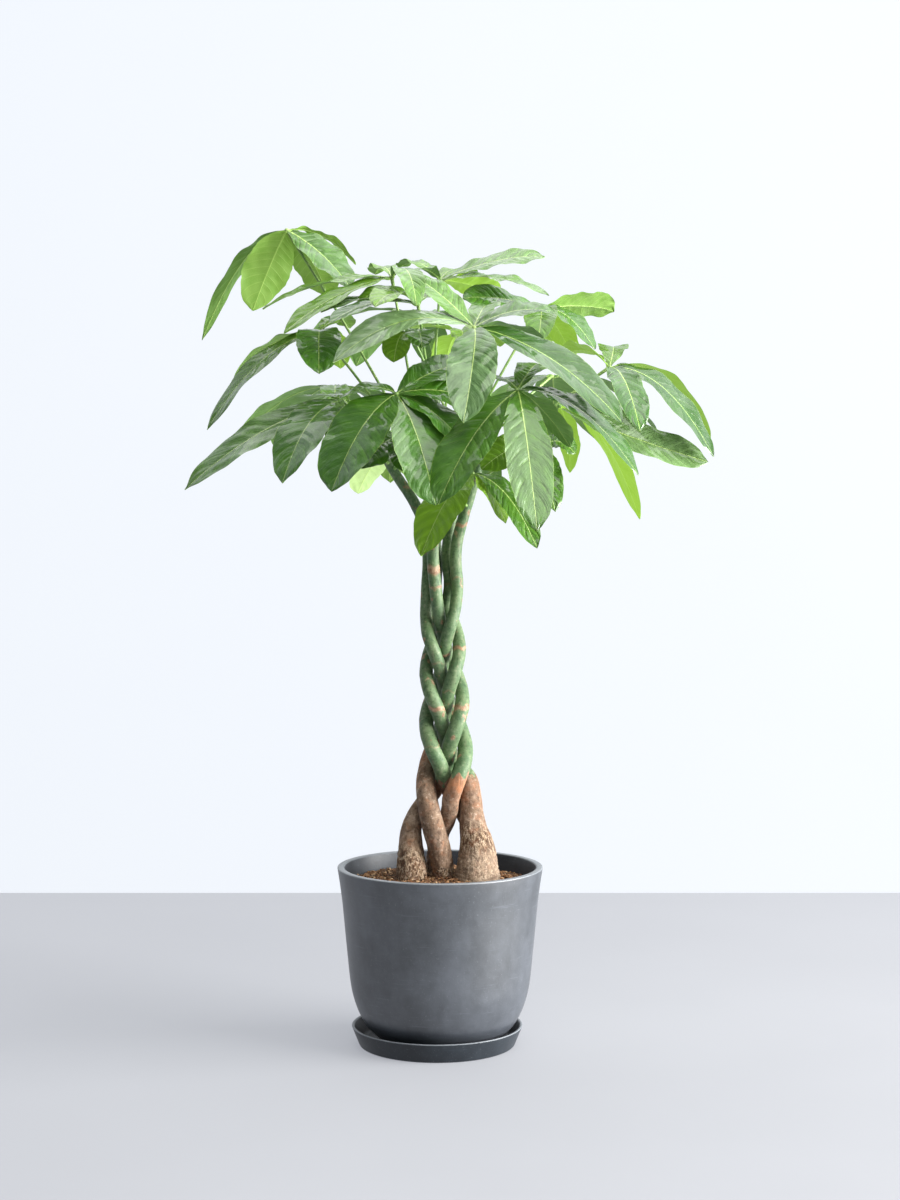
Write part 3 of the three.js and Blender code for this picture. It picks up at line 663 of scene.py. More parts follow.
def makeStem(name, stem, points):
    look = stemLook
    radii = stem.radii.copy()
    high = stem.line[:, 2]
    for ringHigh, size, strength in points["rings"]:
        radii *= 1 + look["ringSwell"] * strength * np.exp(-((high - ringHigh) / size) ** 2)
    line = stem.line[high > look["endsAt"]]
    radii = radii[high > look["endsAt"]]
    # a blunt, slightly tapered tip
    tip = line[0] + (line[0] - line[1]) * np.array(look["tipReach"])[:, None]
    line = np.vstack([tip, line])
    radii = np.concatenate([radii[0] * np.array(look["tipThick"]), radii])
    mesh = tubeMesh(name + "_tube", [(line * mm, radii * mm)], look, barkFinish)

    spots = meshPoints(mesh)
    tall = spots[:, 2] / mm
    facing = np.empty(len(spots) * 3)
    mesh.vertices.foreach_get("normal", facing)
    rng = np.random.default_rng(points["swing"])
    knobs = look["knobs"] * smooth(-tall, -look["knobsBelow"], look["knobsOver"] - look["knobsBelow"])
    spots += facing.reshape(-1, 3) * (knobs * rng.uniform(-1, 1, len(spots)))[:, None] * mm
    mesh.vertices.foreach_set("co", spots.ravel())

    waves = look["wobbleWaves"]
    sizes = look["wobbleSizes"]
    wobble = np.sin(spots[:, 0] / mm * waves[0]) * sizes[0]
    wobble = wobble + np.sin(spots[:, 1] / mm * waves[1] + look["wobbleShift"]) * sizes[1]
    brown = np.clip((points["brownBelow"] + wobble - tall) / look["brownOver"] + 0.5, 0, 1)
    scar = np.zeros(len(spots))
    for ringHigh, size, strength in points["rings"]:
        fade = np.exp(-((tall - ringHigh - wobble * look["ringWobble"]) / size) ** 2)
        scar = np.maximum(scar, strength * fade)
    young = np.exp(-((points["brownBelow"] - look["brownOver"] - tall) / look["youngTall"]) ** 2)
    setMark(mesh, "brown", brown)
    setMark(mesh, "scar", scar * look["scar"])
    setMark(mesh, "young", young * points["young"])
    settle(addObject(name + "_bark", mesh), "stem", name)


for name, stem in stems.items():
    makeStem(name, stem, stemPoints[name])
print("stems made:", len(stems))


# Soil with bark chips. The top falls from the middle out, as heights at radii from the middle, and the
# side follows the pot's outer line a gap further in.
soilSizes = {
    "radii": (0, 70, 115, 139), "heights": (253, 251, 247, 243), "edge": 139.2, "firstRing": 6, "rings": 26,
    "gap": 10.8, "side": [(140.3, 150), (134.8, 97), (121, 56), (93, 28), (60, 19)], "bottom": 19,
    "segments": 96, "topFrom": 240, "rough": 2.2, "seed": 7,
    "crumbs": ((0.030, 0.016, 0.009), (0.15, 0.080, 0.042)),
}
# A chip is a flat lump of three rings, each (size, high). Small and large are its scattered sizes in
# metres, and upward and tilt say how level a place must be and how far a chip may lean there.
chipSizes = {
    "sides": 6, "levels": ((0.75, -0.5), (1.0, 0.0), (0.7, 0.5)), "turn": 0.4, "narrow": 0.7,
    "reach": (0.75, 1.2), "uneven": 0.12, "perArea": 34000, "upward": 0.6, "tilt": 0.7, "seed": 4,
    "small": (0.0014, 0.0012, 0.0009), "large": (0.0048, 0.0036, 0.0024),
    "tones": [(0.0, (0.085, 0.036, 0.016)), (1.0, (0.60, 0.42, 0.25)), (0.38, (0.20, 0.090, 0.038)),
              (0.78, (0.34, 0.185, 0.090))],
    "grain": (0.12, 0.060, 0.028),
}


def pottingSoil():
    paint = Paint("pottingSoil")
    place = paint.place()
    crumb = paint.noise(place, scale=260, detail=5, roughness=0.7)
    clod = paint.cells(place, scale=150)
    body = paint.blend(crumb.between(0.35, 0.65), *soilSizes["crumbs"])
    normal = paint.bump(crumb + clod, distance=0.003, strength=0.9)
    return paint.finish(baseColour=body, roughness=0.82 + crumb * 0.12, normal=normal, specular=0.25)


def barkChip():
    paint = Paint("barkChip")
    grain = paint.noise(paint.place((1, 1, 0.4)), scale=300, detail=4, roughness=0.6)
    tone = paint.attribute("tone")
    body = paint.add("ShaderNodeValToRGB", {"stops": chipSizes["tones"]}, {"Fac": tone})
    body = paint.blend(grain.between(0.42, 0.66) * 0.5, body, chipSizes["grain"])
    normal = paint.bump(grain, distance=0.0010, strength=0.8)
    return paint.finish(baseColour=body, roughness=0.72 + grain * 0.15, normal=normal, specular=0.3)


def makeBed(rng):
    rings = np.linspace(soilSizes["firstRing"], soilSizes["edge"], soilSizes["rings"])
    radii = np.concatenate([[0.001], rings])
    heights = np.interp(radii, soilSizes["radii"], soilSizes["heights"])
    outline = list(zip(radii, heights))
    outline += [(radius - soilSizes["gap"], high) for radius, high in soilSizes["side"]]
    outline += [(0, soilSizes["bottom"])]
    outline = [(0 if radius < 1 else radius * mm, high * mm) for radius, high in reversed(outline)]
    build = Build()
    turned(build, outline, soilSizes["segments"], potSizes["across"] * mm)
    bed = build.make("soilBed", [pottingSoil()])
    spots = meshPoints(bed.data)
    top = spots[:, 2] > soilSizes["topFrom"] * mm
    rough = soilSizes["rough"] * mm
    spots[top, 2] += rng.uniform(-rough, rough, int(top.sum()))
    bed.data.vertices.foreach_set("co", spots.ravel())
    return bed


def makeChip(rng, finish):
    chip = Build()
    sides = chipSizes["sides"]
    uneven = chipSizes["uneven"]
    for level, (size, high) in enumerate(chipSizes["levels"]):
        turns = np.linspace(0, 2 * math.pi, sides, endpoint=False) + level * chipSizes["turn"]
        reach = rng.uniform(*chipSizes["reach"], sides)
        ring = np.stack([np.cos(turns) * size * reach, np.sin(turns) * size * reach * chipSizes["narrow"],
                         np.full(sides, high) + rng.uniform(-uneven, uneven, sides)], axis=1)
        caps = {0: [list(reversed(range(sides)))], 2: [list(range(sides))]}
        chip.take(ring, caps.get(level, []))
    for low in (0, sides):
        chip.faces += [[low + i, low + (i + 1) % sides, low + sides + (i + 1) % sides, low + sides + i]
                       for i in range(sides)]
        chip.kinds += [0] * sides
    piece = chip.make("chipShape", [finish])
    piece.data.polygons.foreach_set("use_smooth", [False] * len(piece.data.polygons))
    return piece


# Chips on the faces of the bed that look up and are near its top
def scatterTree():
    tree = Tree("scatterChips", {"Density": "Float", "Chip": "Object", "Seed": "Int", "Small": "Vector",
                                 "Large": "Vector", "Finish": "Material"})
    facing = tree.add("GeometryNodeInputNormal", {}, {})
    upward = tree.add("ShaderNodeSeparateXYZ", {}, {0: facing}, 2)
    spot = tree.add("GeometryNodeInputPosition", {}, {})
    level = tree.add("ShaderNodeSeparateXYZ", {}, {0: spot}, 2)
    above = {"data_type": "FLOAT", "operation": "GREATER_THAN"}
    isUp = tree.add("FunctionNodeCompare", above, {0: upward, 1: chipSizes["upward"]})
    isHigh = tree.add("FunctionNodeCompare", above, {0: level, 1: soilSizes["topFrom"] * mm})
    both = tree.add("FunctionNodeBooleanMath", {"operation": "AND"}, {0: isUp, 1: isHigh})
    points = tree.add("GeometryNodeDistributePointsOnFaces", {},
                      {"Mesh": tree.given("Geometry"), "Selection": both, "Density": tree.given("Density"),
                       "Seed": tree.given("Seed")})
    shape = tree.add("GeometryNodeObjectInfo", {}, {"Object": tree.given("Chip")}, "Geometry")
    tilt = chipSizes["tilt"]
    turn = tree.add("FunctionNodeRandomValue", {"data_type": "FLOAT_VECTOR"},
                    {0: (-tilt, -tilt, 0.0), 1: (tilt, tilt, 6.28), "Seed": 3})
    size = tree.add("FunctionNodeRandomValue", {"data_type": "FLOAT_VECTOR"},
                    {0: tree.given("Small"), 1: tree.given("Large"), "Seed": 5})
    placed = tree.add("GeometryNodeInstanceOnPoints", {},
                      {"Points": points, "Instance": shape, "Rotation": turn, "Scale": size})
    tone = tree.add("FunctionNodeRandomValue", {"data_type": "FLOAT"}, {2: 0.0, 3: 1.0, "Seed": 11}, 1)
    toned = tree.add("GeometryNodeStoreNamedAttribute", {"data_type": "FLOAT", "domain": "INSTANCE"},
                     {"Geometry": placed, "Name": "tone", "Value": tone})
    tree.end(toned, tree.given("Finish"))
    return tree


def makeSoil():
    rng = np.random.default_rng(soilSizes["seed"])
    bed = makeBed(rng)
    finish = barkChip()
    chip = makeChip(rng, finish)
    mesh = scatterTree().run(bed, {
        "Density": float(chipSizes["perArea"]), "Chip": chip, "Seed": chipSizes["seed"],
        "Small": chipSizes["small"], "Large": chipSizes["large"], "Finish": finish})
    bpy.data.objects.remove(chip)
    settle(bed, "soil", "soil")
    settle(addObject("barkChips", mesh), "soil", "soil")
    print("soil made, chip faces:", len(mesh.polygons))


makeSoil()


# Leaves. Points are in millimetres as seen from in front at eye level, so depth moves them along the line
# of sight. A leaf is (stem, height on it, hub, bow of its stalk, blades), and a blade is (across, deep,
# high, rise, width, lean, lime). Lime is painted light coming through the blade, a brighter yellow-green
# and a glow. Lime below 0 is darker, and an eighth number bends the blade sideways.
eye = {"across": 19, "away": 3200, "high": 820}
leaves = {
    "leaf_top_left": ("stem_far_left", 921, (-222, 0, 1215), 6, [
        (-348, 110, 1056, 38, 34, 0, 0.25), (-273, 40, 1097, 12, 76, -36, 0.6),
        (-160, 76, 1119, 8, 70, -30, 0.6), (-127, -40, 1131, 8, 62, 34, 0.08),
        (-120, 60, 1166, 16, 26, -10, 0.6)]),
    "leaf_upper_left": ("stem_far_left", 906, (-67, -60, 1146), 4, [
        (-258, -80, 1104, 12, 42, 16, 0.3), (-227, -150, 1067, 12, 46, 20, 0.35),
        (-92, 30, 1152, 12, 38, 0, 0.4), (-30, -185, 1107, 28, 40, 0, 0.15),
        (-14, -62, 1134, 14, 34, 0, 0.3)]),
    "leaf_crown_left": ("stem_right_brown", 948, (-28, -90, 1106), 4, [
        (-92, -205, 1106, 16, 48, 10, 0.5), (-118, -104, 1108, 20, 36, 20, 0.3),
        (-172, -120, 1095, 14, 42, 12, 0.1), (-160, -176, 1080, 14, 44, 12, 0.0),
        (24, -30, 1112, 12, 40, 0, 0.3)]),
    "leaf_crown_front": ("stem_left_brown", 930, (55, -150, 1072), 4, [
        (-154, -200, 1022, 32, 66, 28, 0.15), (-33, -120, 1147, 6, 52, 30, 0.15),
        (78, -30, 1104, 12, 46, 0, 0.2), (176, -130, 1095, 12, 56, 24, 0.1),
        (276, -220, 937, 22, 74, 26, -0.6), (39, -262, 936, 24, 70, 0, 0.05, 12),
        (156, -84, 1052, 10, 52, 0, 0.05)]),
    "leaf_front_left": ("stem_centre_green", 892, (-60, -170, 974), 4, [
        (-157, -240, 831, 22, 102, 26, 0.05), (-2, -220, 812, 20, 78, 36, 0.0),
        (-147, -160, 964, 14, 46, 20, 0.1), (100, -148, 940, 18, 66, 40, 0.0),
        (46, -96, 1020, 8, 66, 30, 0.05), (60, -166, 876, 16, 66, 34, 0.0)]),
    "leaf_front_right": ("stem_right_shoot", 884, (120, -180, 980), 4, [
        (2, -268, 812, 18, 80, 26, 0.05), (149, -290, 774, 28, 66, 0, 0.1),
        (300, -220, 856, 32, 58, 20, -0.2), (152, -62, 1020, 10, 48, 0, 0.2),
        (92, -90, 996, 8, 36, 0, 0.2), (198, -112, 898, 12, 48, 0, 0.1)]),
    "leaf_far_left": ("stem_centre_green", 872, (-139, -60, 964), 8, [
        (-375, -90, 834, 20, 66, 38, 0.15), (-230, -176, 847, 26, 88, 12, 0.05),
        (-212, 50, 950, 14, 52, 10, 0.2), (-136, -130, 868, 14, 50, 0, 0.1)]),
    "leaf_mid_left": ("stem_far_left", 888, (-173, 10, 1066), 6, [
        (-341, -20, 925, 30, 50, 26, 0.2), (-175, -110, 1008, 20, 66, 0, 0.0),
        (-143, 84, 1012, 16, 48, 0, 0.8), (-128, 92, 1072, 14, 44, 0, 0.5),
        (-304, 60, 998, 20, 48, 6, 0.45)]),
    "leaf_far_right": ("stem_right_shoot", 868, (256, -20, 1013), 8, [
        (406, 64, 903, 38, 58, -8, 0.85), (411, -60, 887, 34, 58, 26, -0.45),
        (302, -126, 920, 24, 54, 0, -0.35), (256, 96, 1038, 16, 46, 0, 0.3),
        (190, 34, 1034, 14, 52, -24, 0.8)]),
    "leaf_upper_right": ("stem_left_brown", 914, (153, 60, 1100), 6, [
        (262, 140, 1099, 4, 64, -40, 0.5), (234, 24, 1040, 18, 52, 18, -0.2),
        (160, 176, 1044, 20, 52, 0, 0.7), (38, 20, 1118, 5, 58, 34, 0.0),
        (150, -64, 1050, 20, 48, 0, 0.2), (202, 118, 1030, 14, 54, 0, 0.9)]),
    "leaf_top": ("stem_right_brown", 960, (5, 60, 1142), 4, [
        (160, 70, 1180, 8, 50, 26, 0.15), (166, 0, 1121, 14, 50, 14, 0.2),
        (54, 160, 1146, 14, 46, 0, 0.5), (-56, 110, 1160, 16, 44, 10, 0.3),
        (-40, 10, 1150, 12, 40, 0, 0.2), (92, 112, 1122, 4, 56, -24, 0.9)]),
    "leaf_crown_core": ("stem_right_brown", 932, (34, 44, 1064), 2, [
        (12, 130, 1000, 14, 52, 0, 0.9), (50, 136, 1000, 14, 48, 0, 0.9),
        (94, 120, 1044, 14, 46, 0, 0.7), (-70, 20, 1060, 12, 44, 0, 0.7),
        (40, -50, 1050, 10, 36, 0, 0.6)]),
    "leaf_crown_small": ("stem_left_brown", 918, (-38, -62, 1062), 2, [
        (-64, -106, 1022, 16, 50, 0, 0.6), (-22, -134, 1042, 14, 42, 0, 0.1),
        (-122, -100, 1060, 10, 40, 10, 0.2)]),
    "leaf_inner_right": ("stem_right_shoot", 848, (152, -90, 896), 6, [
        (66, -110, 862, 12, 54, 50, 0.5), (176, -150, 802, 18, 46, 30, 0.1),
        (206, -100, 886, 12, 44, 30, 0.1), (120, 20, 870, 14, 48, 0, 0.4)]),
    "leaf_low_right": ("stem_right_shoot", 810, (53, -54, 856), 2, [
        (149, -112, 747, 22, 48, 28, 0.1), (102, -84, 782, 14, 48, 12, 0.85),
        (-24, -116, 735, 24, 74, 22, 0.75)]),
    "leaf_low_left": ("stem_centre_green", 850, (-70, 54, 888), 4, [
        (-118, 116, 828, 14, 58, 0, 0.95), (-24, 130, 836, 14, 46, 0, 0.7),
        (-140, 56, 852, 12, 40, 0, 0.6), (-70, 168, 846, 14, 50, 0, 0.6)]),
    "leaf_inner_left": ("stem_centre_green", 862, (-42, -78, 914), 4, [
        (-112, -136, 866, 10, 62, 30, 0.1), (-46, -168, 860, 12, 50, 0, 0.1),
        (-130, -60, 892, 3, 42, 0, 0.3), (16, -120, 880, 10, 46, 0, 0.2)]),
    "leaf_right_long": ("stem_left_brown", 898, (182, -60, 956), 8, [
        (403, -40, 878, -8, 66, 44, 0.2), (302, -20, 794, 36, 44, -12, 1),
        (198, -10, 858, 14, 34, 20, 0.9), (250, 60, 900, 16, 50, 0, 0.4)]),
    "leaf_back_left": ("stem_centre_green", 882, (-150, 150, 985), 8, [
        (-300, 190, 900, 26, 60, 0, 0.2), (-240, 280, 896, 26, 66, 0, 0.15),
        (-130, 310, 880, 26, 70, 0, 0.1), (-46, 250, 916, 20, 58, 0, 0.2),
        (-150, 30, 950, 12, 46, 0, 0.3)]),
    "leaf_back_low": ("stem_right_brown", 880, (0, 176, 950), 6, [
        (-110, 220, 840, 24, 60, 0, 0.2), (-20, 330, 830, 26, 70, 0, 0.1),
        (90, 280, 836, 26, 66, 0, 0.15), (100, 170, 880, 18, 54, 0, 0.3)]),
    "leaf_back_right": ("stem_left_brown", 868, (170, 170, 1000), 8, [
        (330, 210, 915, 30, 66, 0, 0.2), (280, 310, 900, 28, 70, 0, 0.1),
        (170, 340, 896, 28, 70, 0, 0.15), (70, 280, 930, 22, 58, 0, 0.2),
        (110, 90, 960, 12, 46, 0, 0.4)]),
    "leaf_back_top": ("stem_right_brown", 916, (-30, 170, 1090), 6, [
        (-190, 200, 1064, 20, 58, 0, 0.2), (-120, 300, 1020, 24, 66, 0, 0.1),
        (0, 330, 1010, 26, 68, 0, 0.1), (90, 250, 1050, 20, 58, 0, 0.2),
        (-70, 70, 1078, 10, 44, 0, 0.3)]),
}
# blades with a painted sheen, a pale grey-green and glow that stand in for a reflection of bright light,
# by their place in the leaf
paintedSheenBlades = {
    "leaf_crown_front": {0: 0.75, 5: 0.25}, "leaf_right_long": {0: 0.35}, "leaf_crown_left": {2: 0.3},
    "leaf_far_left": {0: 0.15}, "leaf_low_left": {0: 0.7}, "leaf_top": {0: 0.3, 1: 0.3},
}
bladeLook = {
    "rows": 60, "columns": 16, "widest": 0.60, "endRound": 0.54, "baseCurve": 0.86, "baseFull": 1.05,
    "tipCurve": 2.3, "tipPinch": 0.35, "pinchAt": (0.93, 0.99),
    "veins": 11, "veinSlope": 0.10, "veinBend": 0.05, "fold": 0.15, "thick": 0.45, "rib": 1.2,
    "ribWide": 1.5, "quilt": 0.42, "wave": 2.3, "ripple": 0.8, "stalkWide": 1.5, "stalkThick": 2.4,
    "stalkEnds": (0.035, 0.075),
    "twist": 16, "twistFrom": 0.3, "sway": 6, "curl": 7, "curlLength": 200, "scallop": 0.014,
}
# the ranges that each leaflet's own shape is drawn from
bladeChance = {
    "twist": (-1, 1), "sway": (-1, 1), "curl": (0.2, 1), "widest": (-0.04, 0.03), "endRound": (-0.08, 0.16),
    "veinDrift": (0.02, 0.06), "veinTurns": (1, 3.5), "edgeTurns": (1.6, 3.4), "swellTurns": (1, 2.5),
    "swellAcross": (0.3, 0.8), "rippleTurns": (2, 6), "rippleAcross": (-1.6, 1.6), "rippleSize": (0.3, 1),
    "fold": (0.7, 1.3),
}
petioleLook = {
    "thin": 2.0, "base": 3.4, "elbow": 9, "inStem": 0.7, "knee": 0.12, "kneeUp": 3, "bowAt": 0.55,
    "steps": 34, "hub": 3.6, "knob": ((-0.9, 0.35), (-0.6, 0.8), (0, 1.0), (0.45, 0.75), (0.7, 0.25)),
    "sides": 12, "lumps": 0.08, "grain": 90.0,
}
leafColours = {
    "deep": (0.010, 0.061, 0.001),
    "fresh": (0.055, 0.168, 0.006),
    # painted light: lime and underLime stand in for light coming through a blade
    "lime": (0.18, 0.33, 0.020),
    "shade": (0.006, 0.032, 0.003),
    "vein": (0.18, 0.33, 0.065),
    "rib": (0.34, 0.48, 0.13),
    "under": (0.11, 0.22, 0.055),
    "underLime": (0.20, 0.315, 0.060),
    "edge": (0.18, 0.30, 0.04),
    # painted sheen: the grey-green that pale blades turn towards
    "dustAndSheen": (0.36, 0.47, 0.31),
    # painted light: the glows that the blades give off, though they are no lamp
    "underGlow": (0.020, 0.045, 0.008),
    "limeGlow": (0.26, 0.47, 0.035),
    "paintedSheenGlow": (0.42, 0.52, 0.24),
    "stalk": ((0.13, 0.27, 0.055), (0.30, 0.42, 0.13)),
    "stalkStreak": (0.40, 0.42, 0.19),
}
# The leaves glow with painted light, an emission that stands in for light coming through them: much
# through the lime leaves and little through the green ones, and glowHeld is what green holds back
leafShine = {"specular": 0.34, "coat": 0.80, "coatLime": 0.55, "coatRoughness": 0.065, "glowHeld": 0.84,
             "glow": 0.40}


def leafTop():
    paint = Paint("leafTop")
    tones = leafColours
    place = paint.place()
    fromRib, vein, across, along = paint.attributes("fromRib", "vein", "across", "along")
    lime, dark, pale, tone = paint.attributes("lime", "dark", "pale", "tone")
    cloud = paint.noise(place, scale=28, detail=4).between(0.35, 0.68)
    uneven = paint.noise(place, scale=45, detail=2).between(0.38, 0.66)
    body = paint.blend(tone * 0.6 + cloud * 0.4, tones["deep"], tones["fresh"])
    # painted light: a lime blade turns a bright yellow-green, as if light came through it
    body = paint.blend(lime, body, tones["lime"])
    body = paint.blend(dark, body, tones["shade"])
    # painted sheen: a pale blade turns grey-green, as if it reflected the bright light above it
    body = paint.blend(pale * (0.35 + cloud * 0.3), body, tones["dustAndSheen"])
    veinGap = abs(vein.fraction() - 0.5) * 2  # 1 on a side vein, 0 halfway to the next
    veinLine = veinGap.between(0.90, 1.0) * across.between(1.0, 0.75) * fromRib.between(0.0006, 0.002)
    ribHalf = 0.0015 - along * 0.0010
    ribLine = (fromRib / ribHalf).between(1.0, 0.45)
    halo = (fromRib / ribHalf).between(5.0, 0.8)
    # painted shade of the quilting: the blade is darker halfway between side veins
    body = paint.blend(veinGap.between(0.75, 0.15) * 0.22, body, tones["deep"])
    body = paint.blend(veinLine * uneven * 0.36 + halo * 0.10, body, tones["vein"])
    body = paint.blend(across.between(0.965, 1.0) * 0.6, body, tones["edge"])
    body = paint.blend(ribLine * 0.9, body, tones["rib"])
    mesh = paint.cells(place, scale=620)
    grain = paint.noise(place, scale=160, detail=3)
    alongVeins = paint.joined(vein * 2.2, fromRib * 46, tone * 37 + place.part(2) * 6)
    wrinkle = paint.noise(alongVeins, scale=1.0, detail=4, roughness=0.62)
    swell = paint.noise(place, scale=32, detail=2)
    relief = wrinkle + swell * 1.6 - veinGap.between(0.5, 1.0) * uneven * 0.5 + ribLine * 0.5
    normal = paint.bump(relief, distance=0.0026, strength=0.9)
    normal = paint.bump(mesh * 0.5 + grain, distance=0.00022, strength=0.5, under=normal)
    # painted light: the top glows with a little of its own colour, a lime blade most, lifting it in shade
    held = leafShine["glowHeld"] - lime * leafShine["glowHeld"]
    return paint.finish(
        baseColour=body, roughness=0.33 + grain * 0.16 + lime * 0.08, normal=normal,
        specular=leafShine["specular"], coat=leafShine["coat"] - lime * leafShine["coatLime"],
        coatRoughness=leafShine["coatRoughness"], glow=paint.blend(held, body, (0.0, 0.0, 0.0)),
        glowStrength=leafShine["glow"])


def leafUnderside():
    paint = Paint("leafUnderside")
    tones = leafColours
    place = paint.place()
    fromRib, vein, across, along = paint.attributes("fromRib", "vein", "across", "along")
    lime, pale = paint.attributes("lime", "pale")
    cloud = paint.noise(place, scale=30, detail=3)
    # painted light: a lime underside is a brighter yellow-green, as if light came through it
    body = paint.blend(lime, tones["under"], tones["underLime"])
    body = paint.blend(cloud.between(0.3, 0.75) * 0.14, body, tones["fresh"])
    # painted sheen: a pale underside turns grey-green too
    body = paint.blend(pale * 0.6, body, tones["dustAndSheen"])
    # painted light: undersides glow, lime ones most, as if light came through them
    glow = paint.blend(lime ** 3, tones["underGlow"], tones["limeGlow"])
    # painted light: a pale underside glows grey-green
    glow = paint.blend(pale, glow, tones["paintedSheenGlow"])
    veinGap = abs(vein.fraction() - 0.5) * 2
    veinLine = veinGap.between(0.88, 0.99) * across.between(1.0, 0.75)
    ribLine = (fromRib / (0.0019 - along * 0.0013)).between(1.0, 0.5)
    alongVeins = paint.joined(vein * 1.1, fromRib * 60, place.part(2) * 9)
    blotch = paint.noise(alongVeins, scale=1.0, detail=4, roughness=0.6)
    body = paint.blend(blotch.between(0.42, 0.66) * 0.30, body, tones["fresh"])
    body = paint.blend(veinLine * 0.28, body, tones["rib"])
    body = paint.blend(ribLine * 0.9, body, tones["rib"])
    normal = paint.bump(veinLine * 0.4 + ribLine, distance=0.0008, strength=0.7)
    normal = paint.bump(paint.cells(place, scale=520), distance=0.0002, strength=0.5, under=normal)
    return paint.finish(baseColour=body, roughness=0.42 + cloud * 0.14, normal=normal, specular=0.3,
                        glow=glow, glowStrength=1.0)


def leafStalk():
    paint = Paint("leafStalk")
    cloud = paint.noise(paint.place(), scale=70, detail=3)
    streak = paint.noise(paint.place((1, 1, 0.12)), scale=420, detail=2)
    body = paint.blend(cloud.between(0.3, 0.75), *leafColours["stalk"])
    body = paint.blend(streak.between(0.55, 0.8) * 0.35, body, leafColours["stalkStreak"])
    normal = paint.bump(streak, distance=0.0003, strength=0.5)
    return paint.finish(baseColour=body, roughness=0.36 + cloud * 0.15, normal=normal)


leafFinishes = [leafTop(), leafUnderside(), leafStalk()]


def seen(spot):
    across, deep, high = spot
    spread = 1 + deep / eye["away"]
    return np.array([eye["across"] + (across - eye["across"]) * spread, deep,
                     eye["high"] + (high - eye["high"]) * spread])


# The middle line of a blade from hub to tip, and the directions across it and out of its top
def bladeSpine(hub, tip, rise, lean, bend, t, rng):
    look = bladeLook
    outward = unit((tip - hub) * np.array([1, 1, 0]))
    flat = np.cross(outward, (0, 0, 1))
    control = (hub + tip) / 2 + np.array([0, 0, 2 * rise]) - flat * 2 * bend
    middle = (1 - t) ** 2 * hub + 2 * t * (1 - t) * control + t ** 2 * tip
    along = unit(2 * (1 - t) * (control - hub) + 2 * t * (tip - control))
    normal = unit(np.cross(flat, along))
    twist = np.radians(look["twist"]) * rng.uniform(*bladeChance["twist"]) * (t - look["twistFrom"])
    roll = np.radians(lean) * outward[0] + twist
    sideways = np.cross(along, normal)
    normal = normal * np.cos(roll) + sideways * np.sin(roll)
    side = np.cross(along, normal)
    sway = rng.uniform(*bladeChance["sway"])
    middle = middle + sideways * look["sway"] * sway * np.sin(math.pi * t)
    length = np.linalg.norm(tip - hub)
    curl = look["curl"] * rng.uniform(*bladeChance["curl"]) * t ** 5 * (length / look["curlLength"])
    middle = middle - np.array([0, 0, 1]) * curl
    return middle, side, normal


# Half the width along a blade, and how far it is still the short stalk at its base
def bladeOutline(width, t, rng):
    look = bladeLook
    peak = look["widest"] + rng.uniform(*bladeChance["widest"])
    endRound = look["endRound"] + rng.uniform(*bladeChance["endRound"])
    towardsTip = np.clip((t - peak) / (1 - peak), 0, 1)
    base = np.sin(math.pi / 2 * np.clip(t / peak, 0, 1) ** look["baseCurve"]) ** look["baseFull"]
    shape = base * (1 - towardsTip ** look["tipCurve"]) ** endRound
    half = width / 2 * shape * (1 - look["tipPinch"] * smooth(t, *look["pinchAt"]))
    stalk = 1 - smooth(t, *look["stalkEnds"])
    return np.maximum(half, look["stalkWide"] * stalk), stalk


# The number of side veins passed at each point, and how high the surface stands there. The edges wave,
# the surface swells between the veins and ripples at random, and the halves fold up from the rib.
def bladeRelief(half, stalk, t, s, u, rng):
    look = bladeLook
    chance = bladeChance
    size = np.abs(u)
    uneven = 0  # the veins wander, and differently on the two sides
    for _ in range(3):
        amount = rng.uniform(*chance["veinDrift"])
        turns = 2 * math.pi * rng.uniform(*chance["veinTurns"]) * t + rng.uniform(0, 6.28)
        uneven = uneven + amount * np.sin(turns + np.where(s < 0, 2.5, 0))
    vein = look["veins"] * (t - look["veinSlope"] * size - look["veinBend"] * size ** 2) + uneven + 20
    phases = rng.uniform(0, 6.28, 2)
    waves = rng.uniform(*chance["edgeTurns"], 2)
    left = np.sin(2 * math.pi * waves[0] * t + phases[0])
    right = np.sin(2 * math.pi * waves[1] * t + phases[1])
    wave = look["wave"] * size ** 2.2 * np.where(s < 0, left, right) * np.sin(math.pi * t) ** 0.5
    turns = rng.uniform(*chance["swellTurns"]) * t + rng.uniform(*chance["swellAcross"]) * u
    uneven = 0.7 + 0.5 * np.sin(2 * math.pi * turns + phases[1])
    quilt = -look["quilt"] * uneven * np.cos(2 * math.pi * vein) * np.sin(math.pi * size ** 0.75) ** 0.8
    for _ in range(3):
        turns = rng.uniform(*chance["rippleTurns"]) * t + rng.uniform(*chance["rippleAcross"]) * u
        turns = turns + rng.uniform(0, 1)
        ripple = look["ripple"] * rng.uniform(*chance["rippleSize"])
        quilt = quilt + ripple * np.sin(2 * math.pi * turns) * size ** 0.7
    cup = look["fold"] * half * size * (1.45 - 0.75 * size) * rng.uniform(*chance["fold"])
    return vein, (cup + wave + quilt) * (1 - stalk)


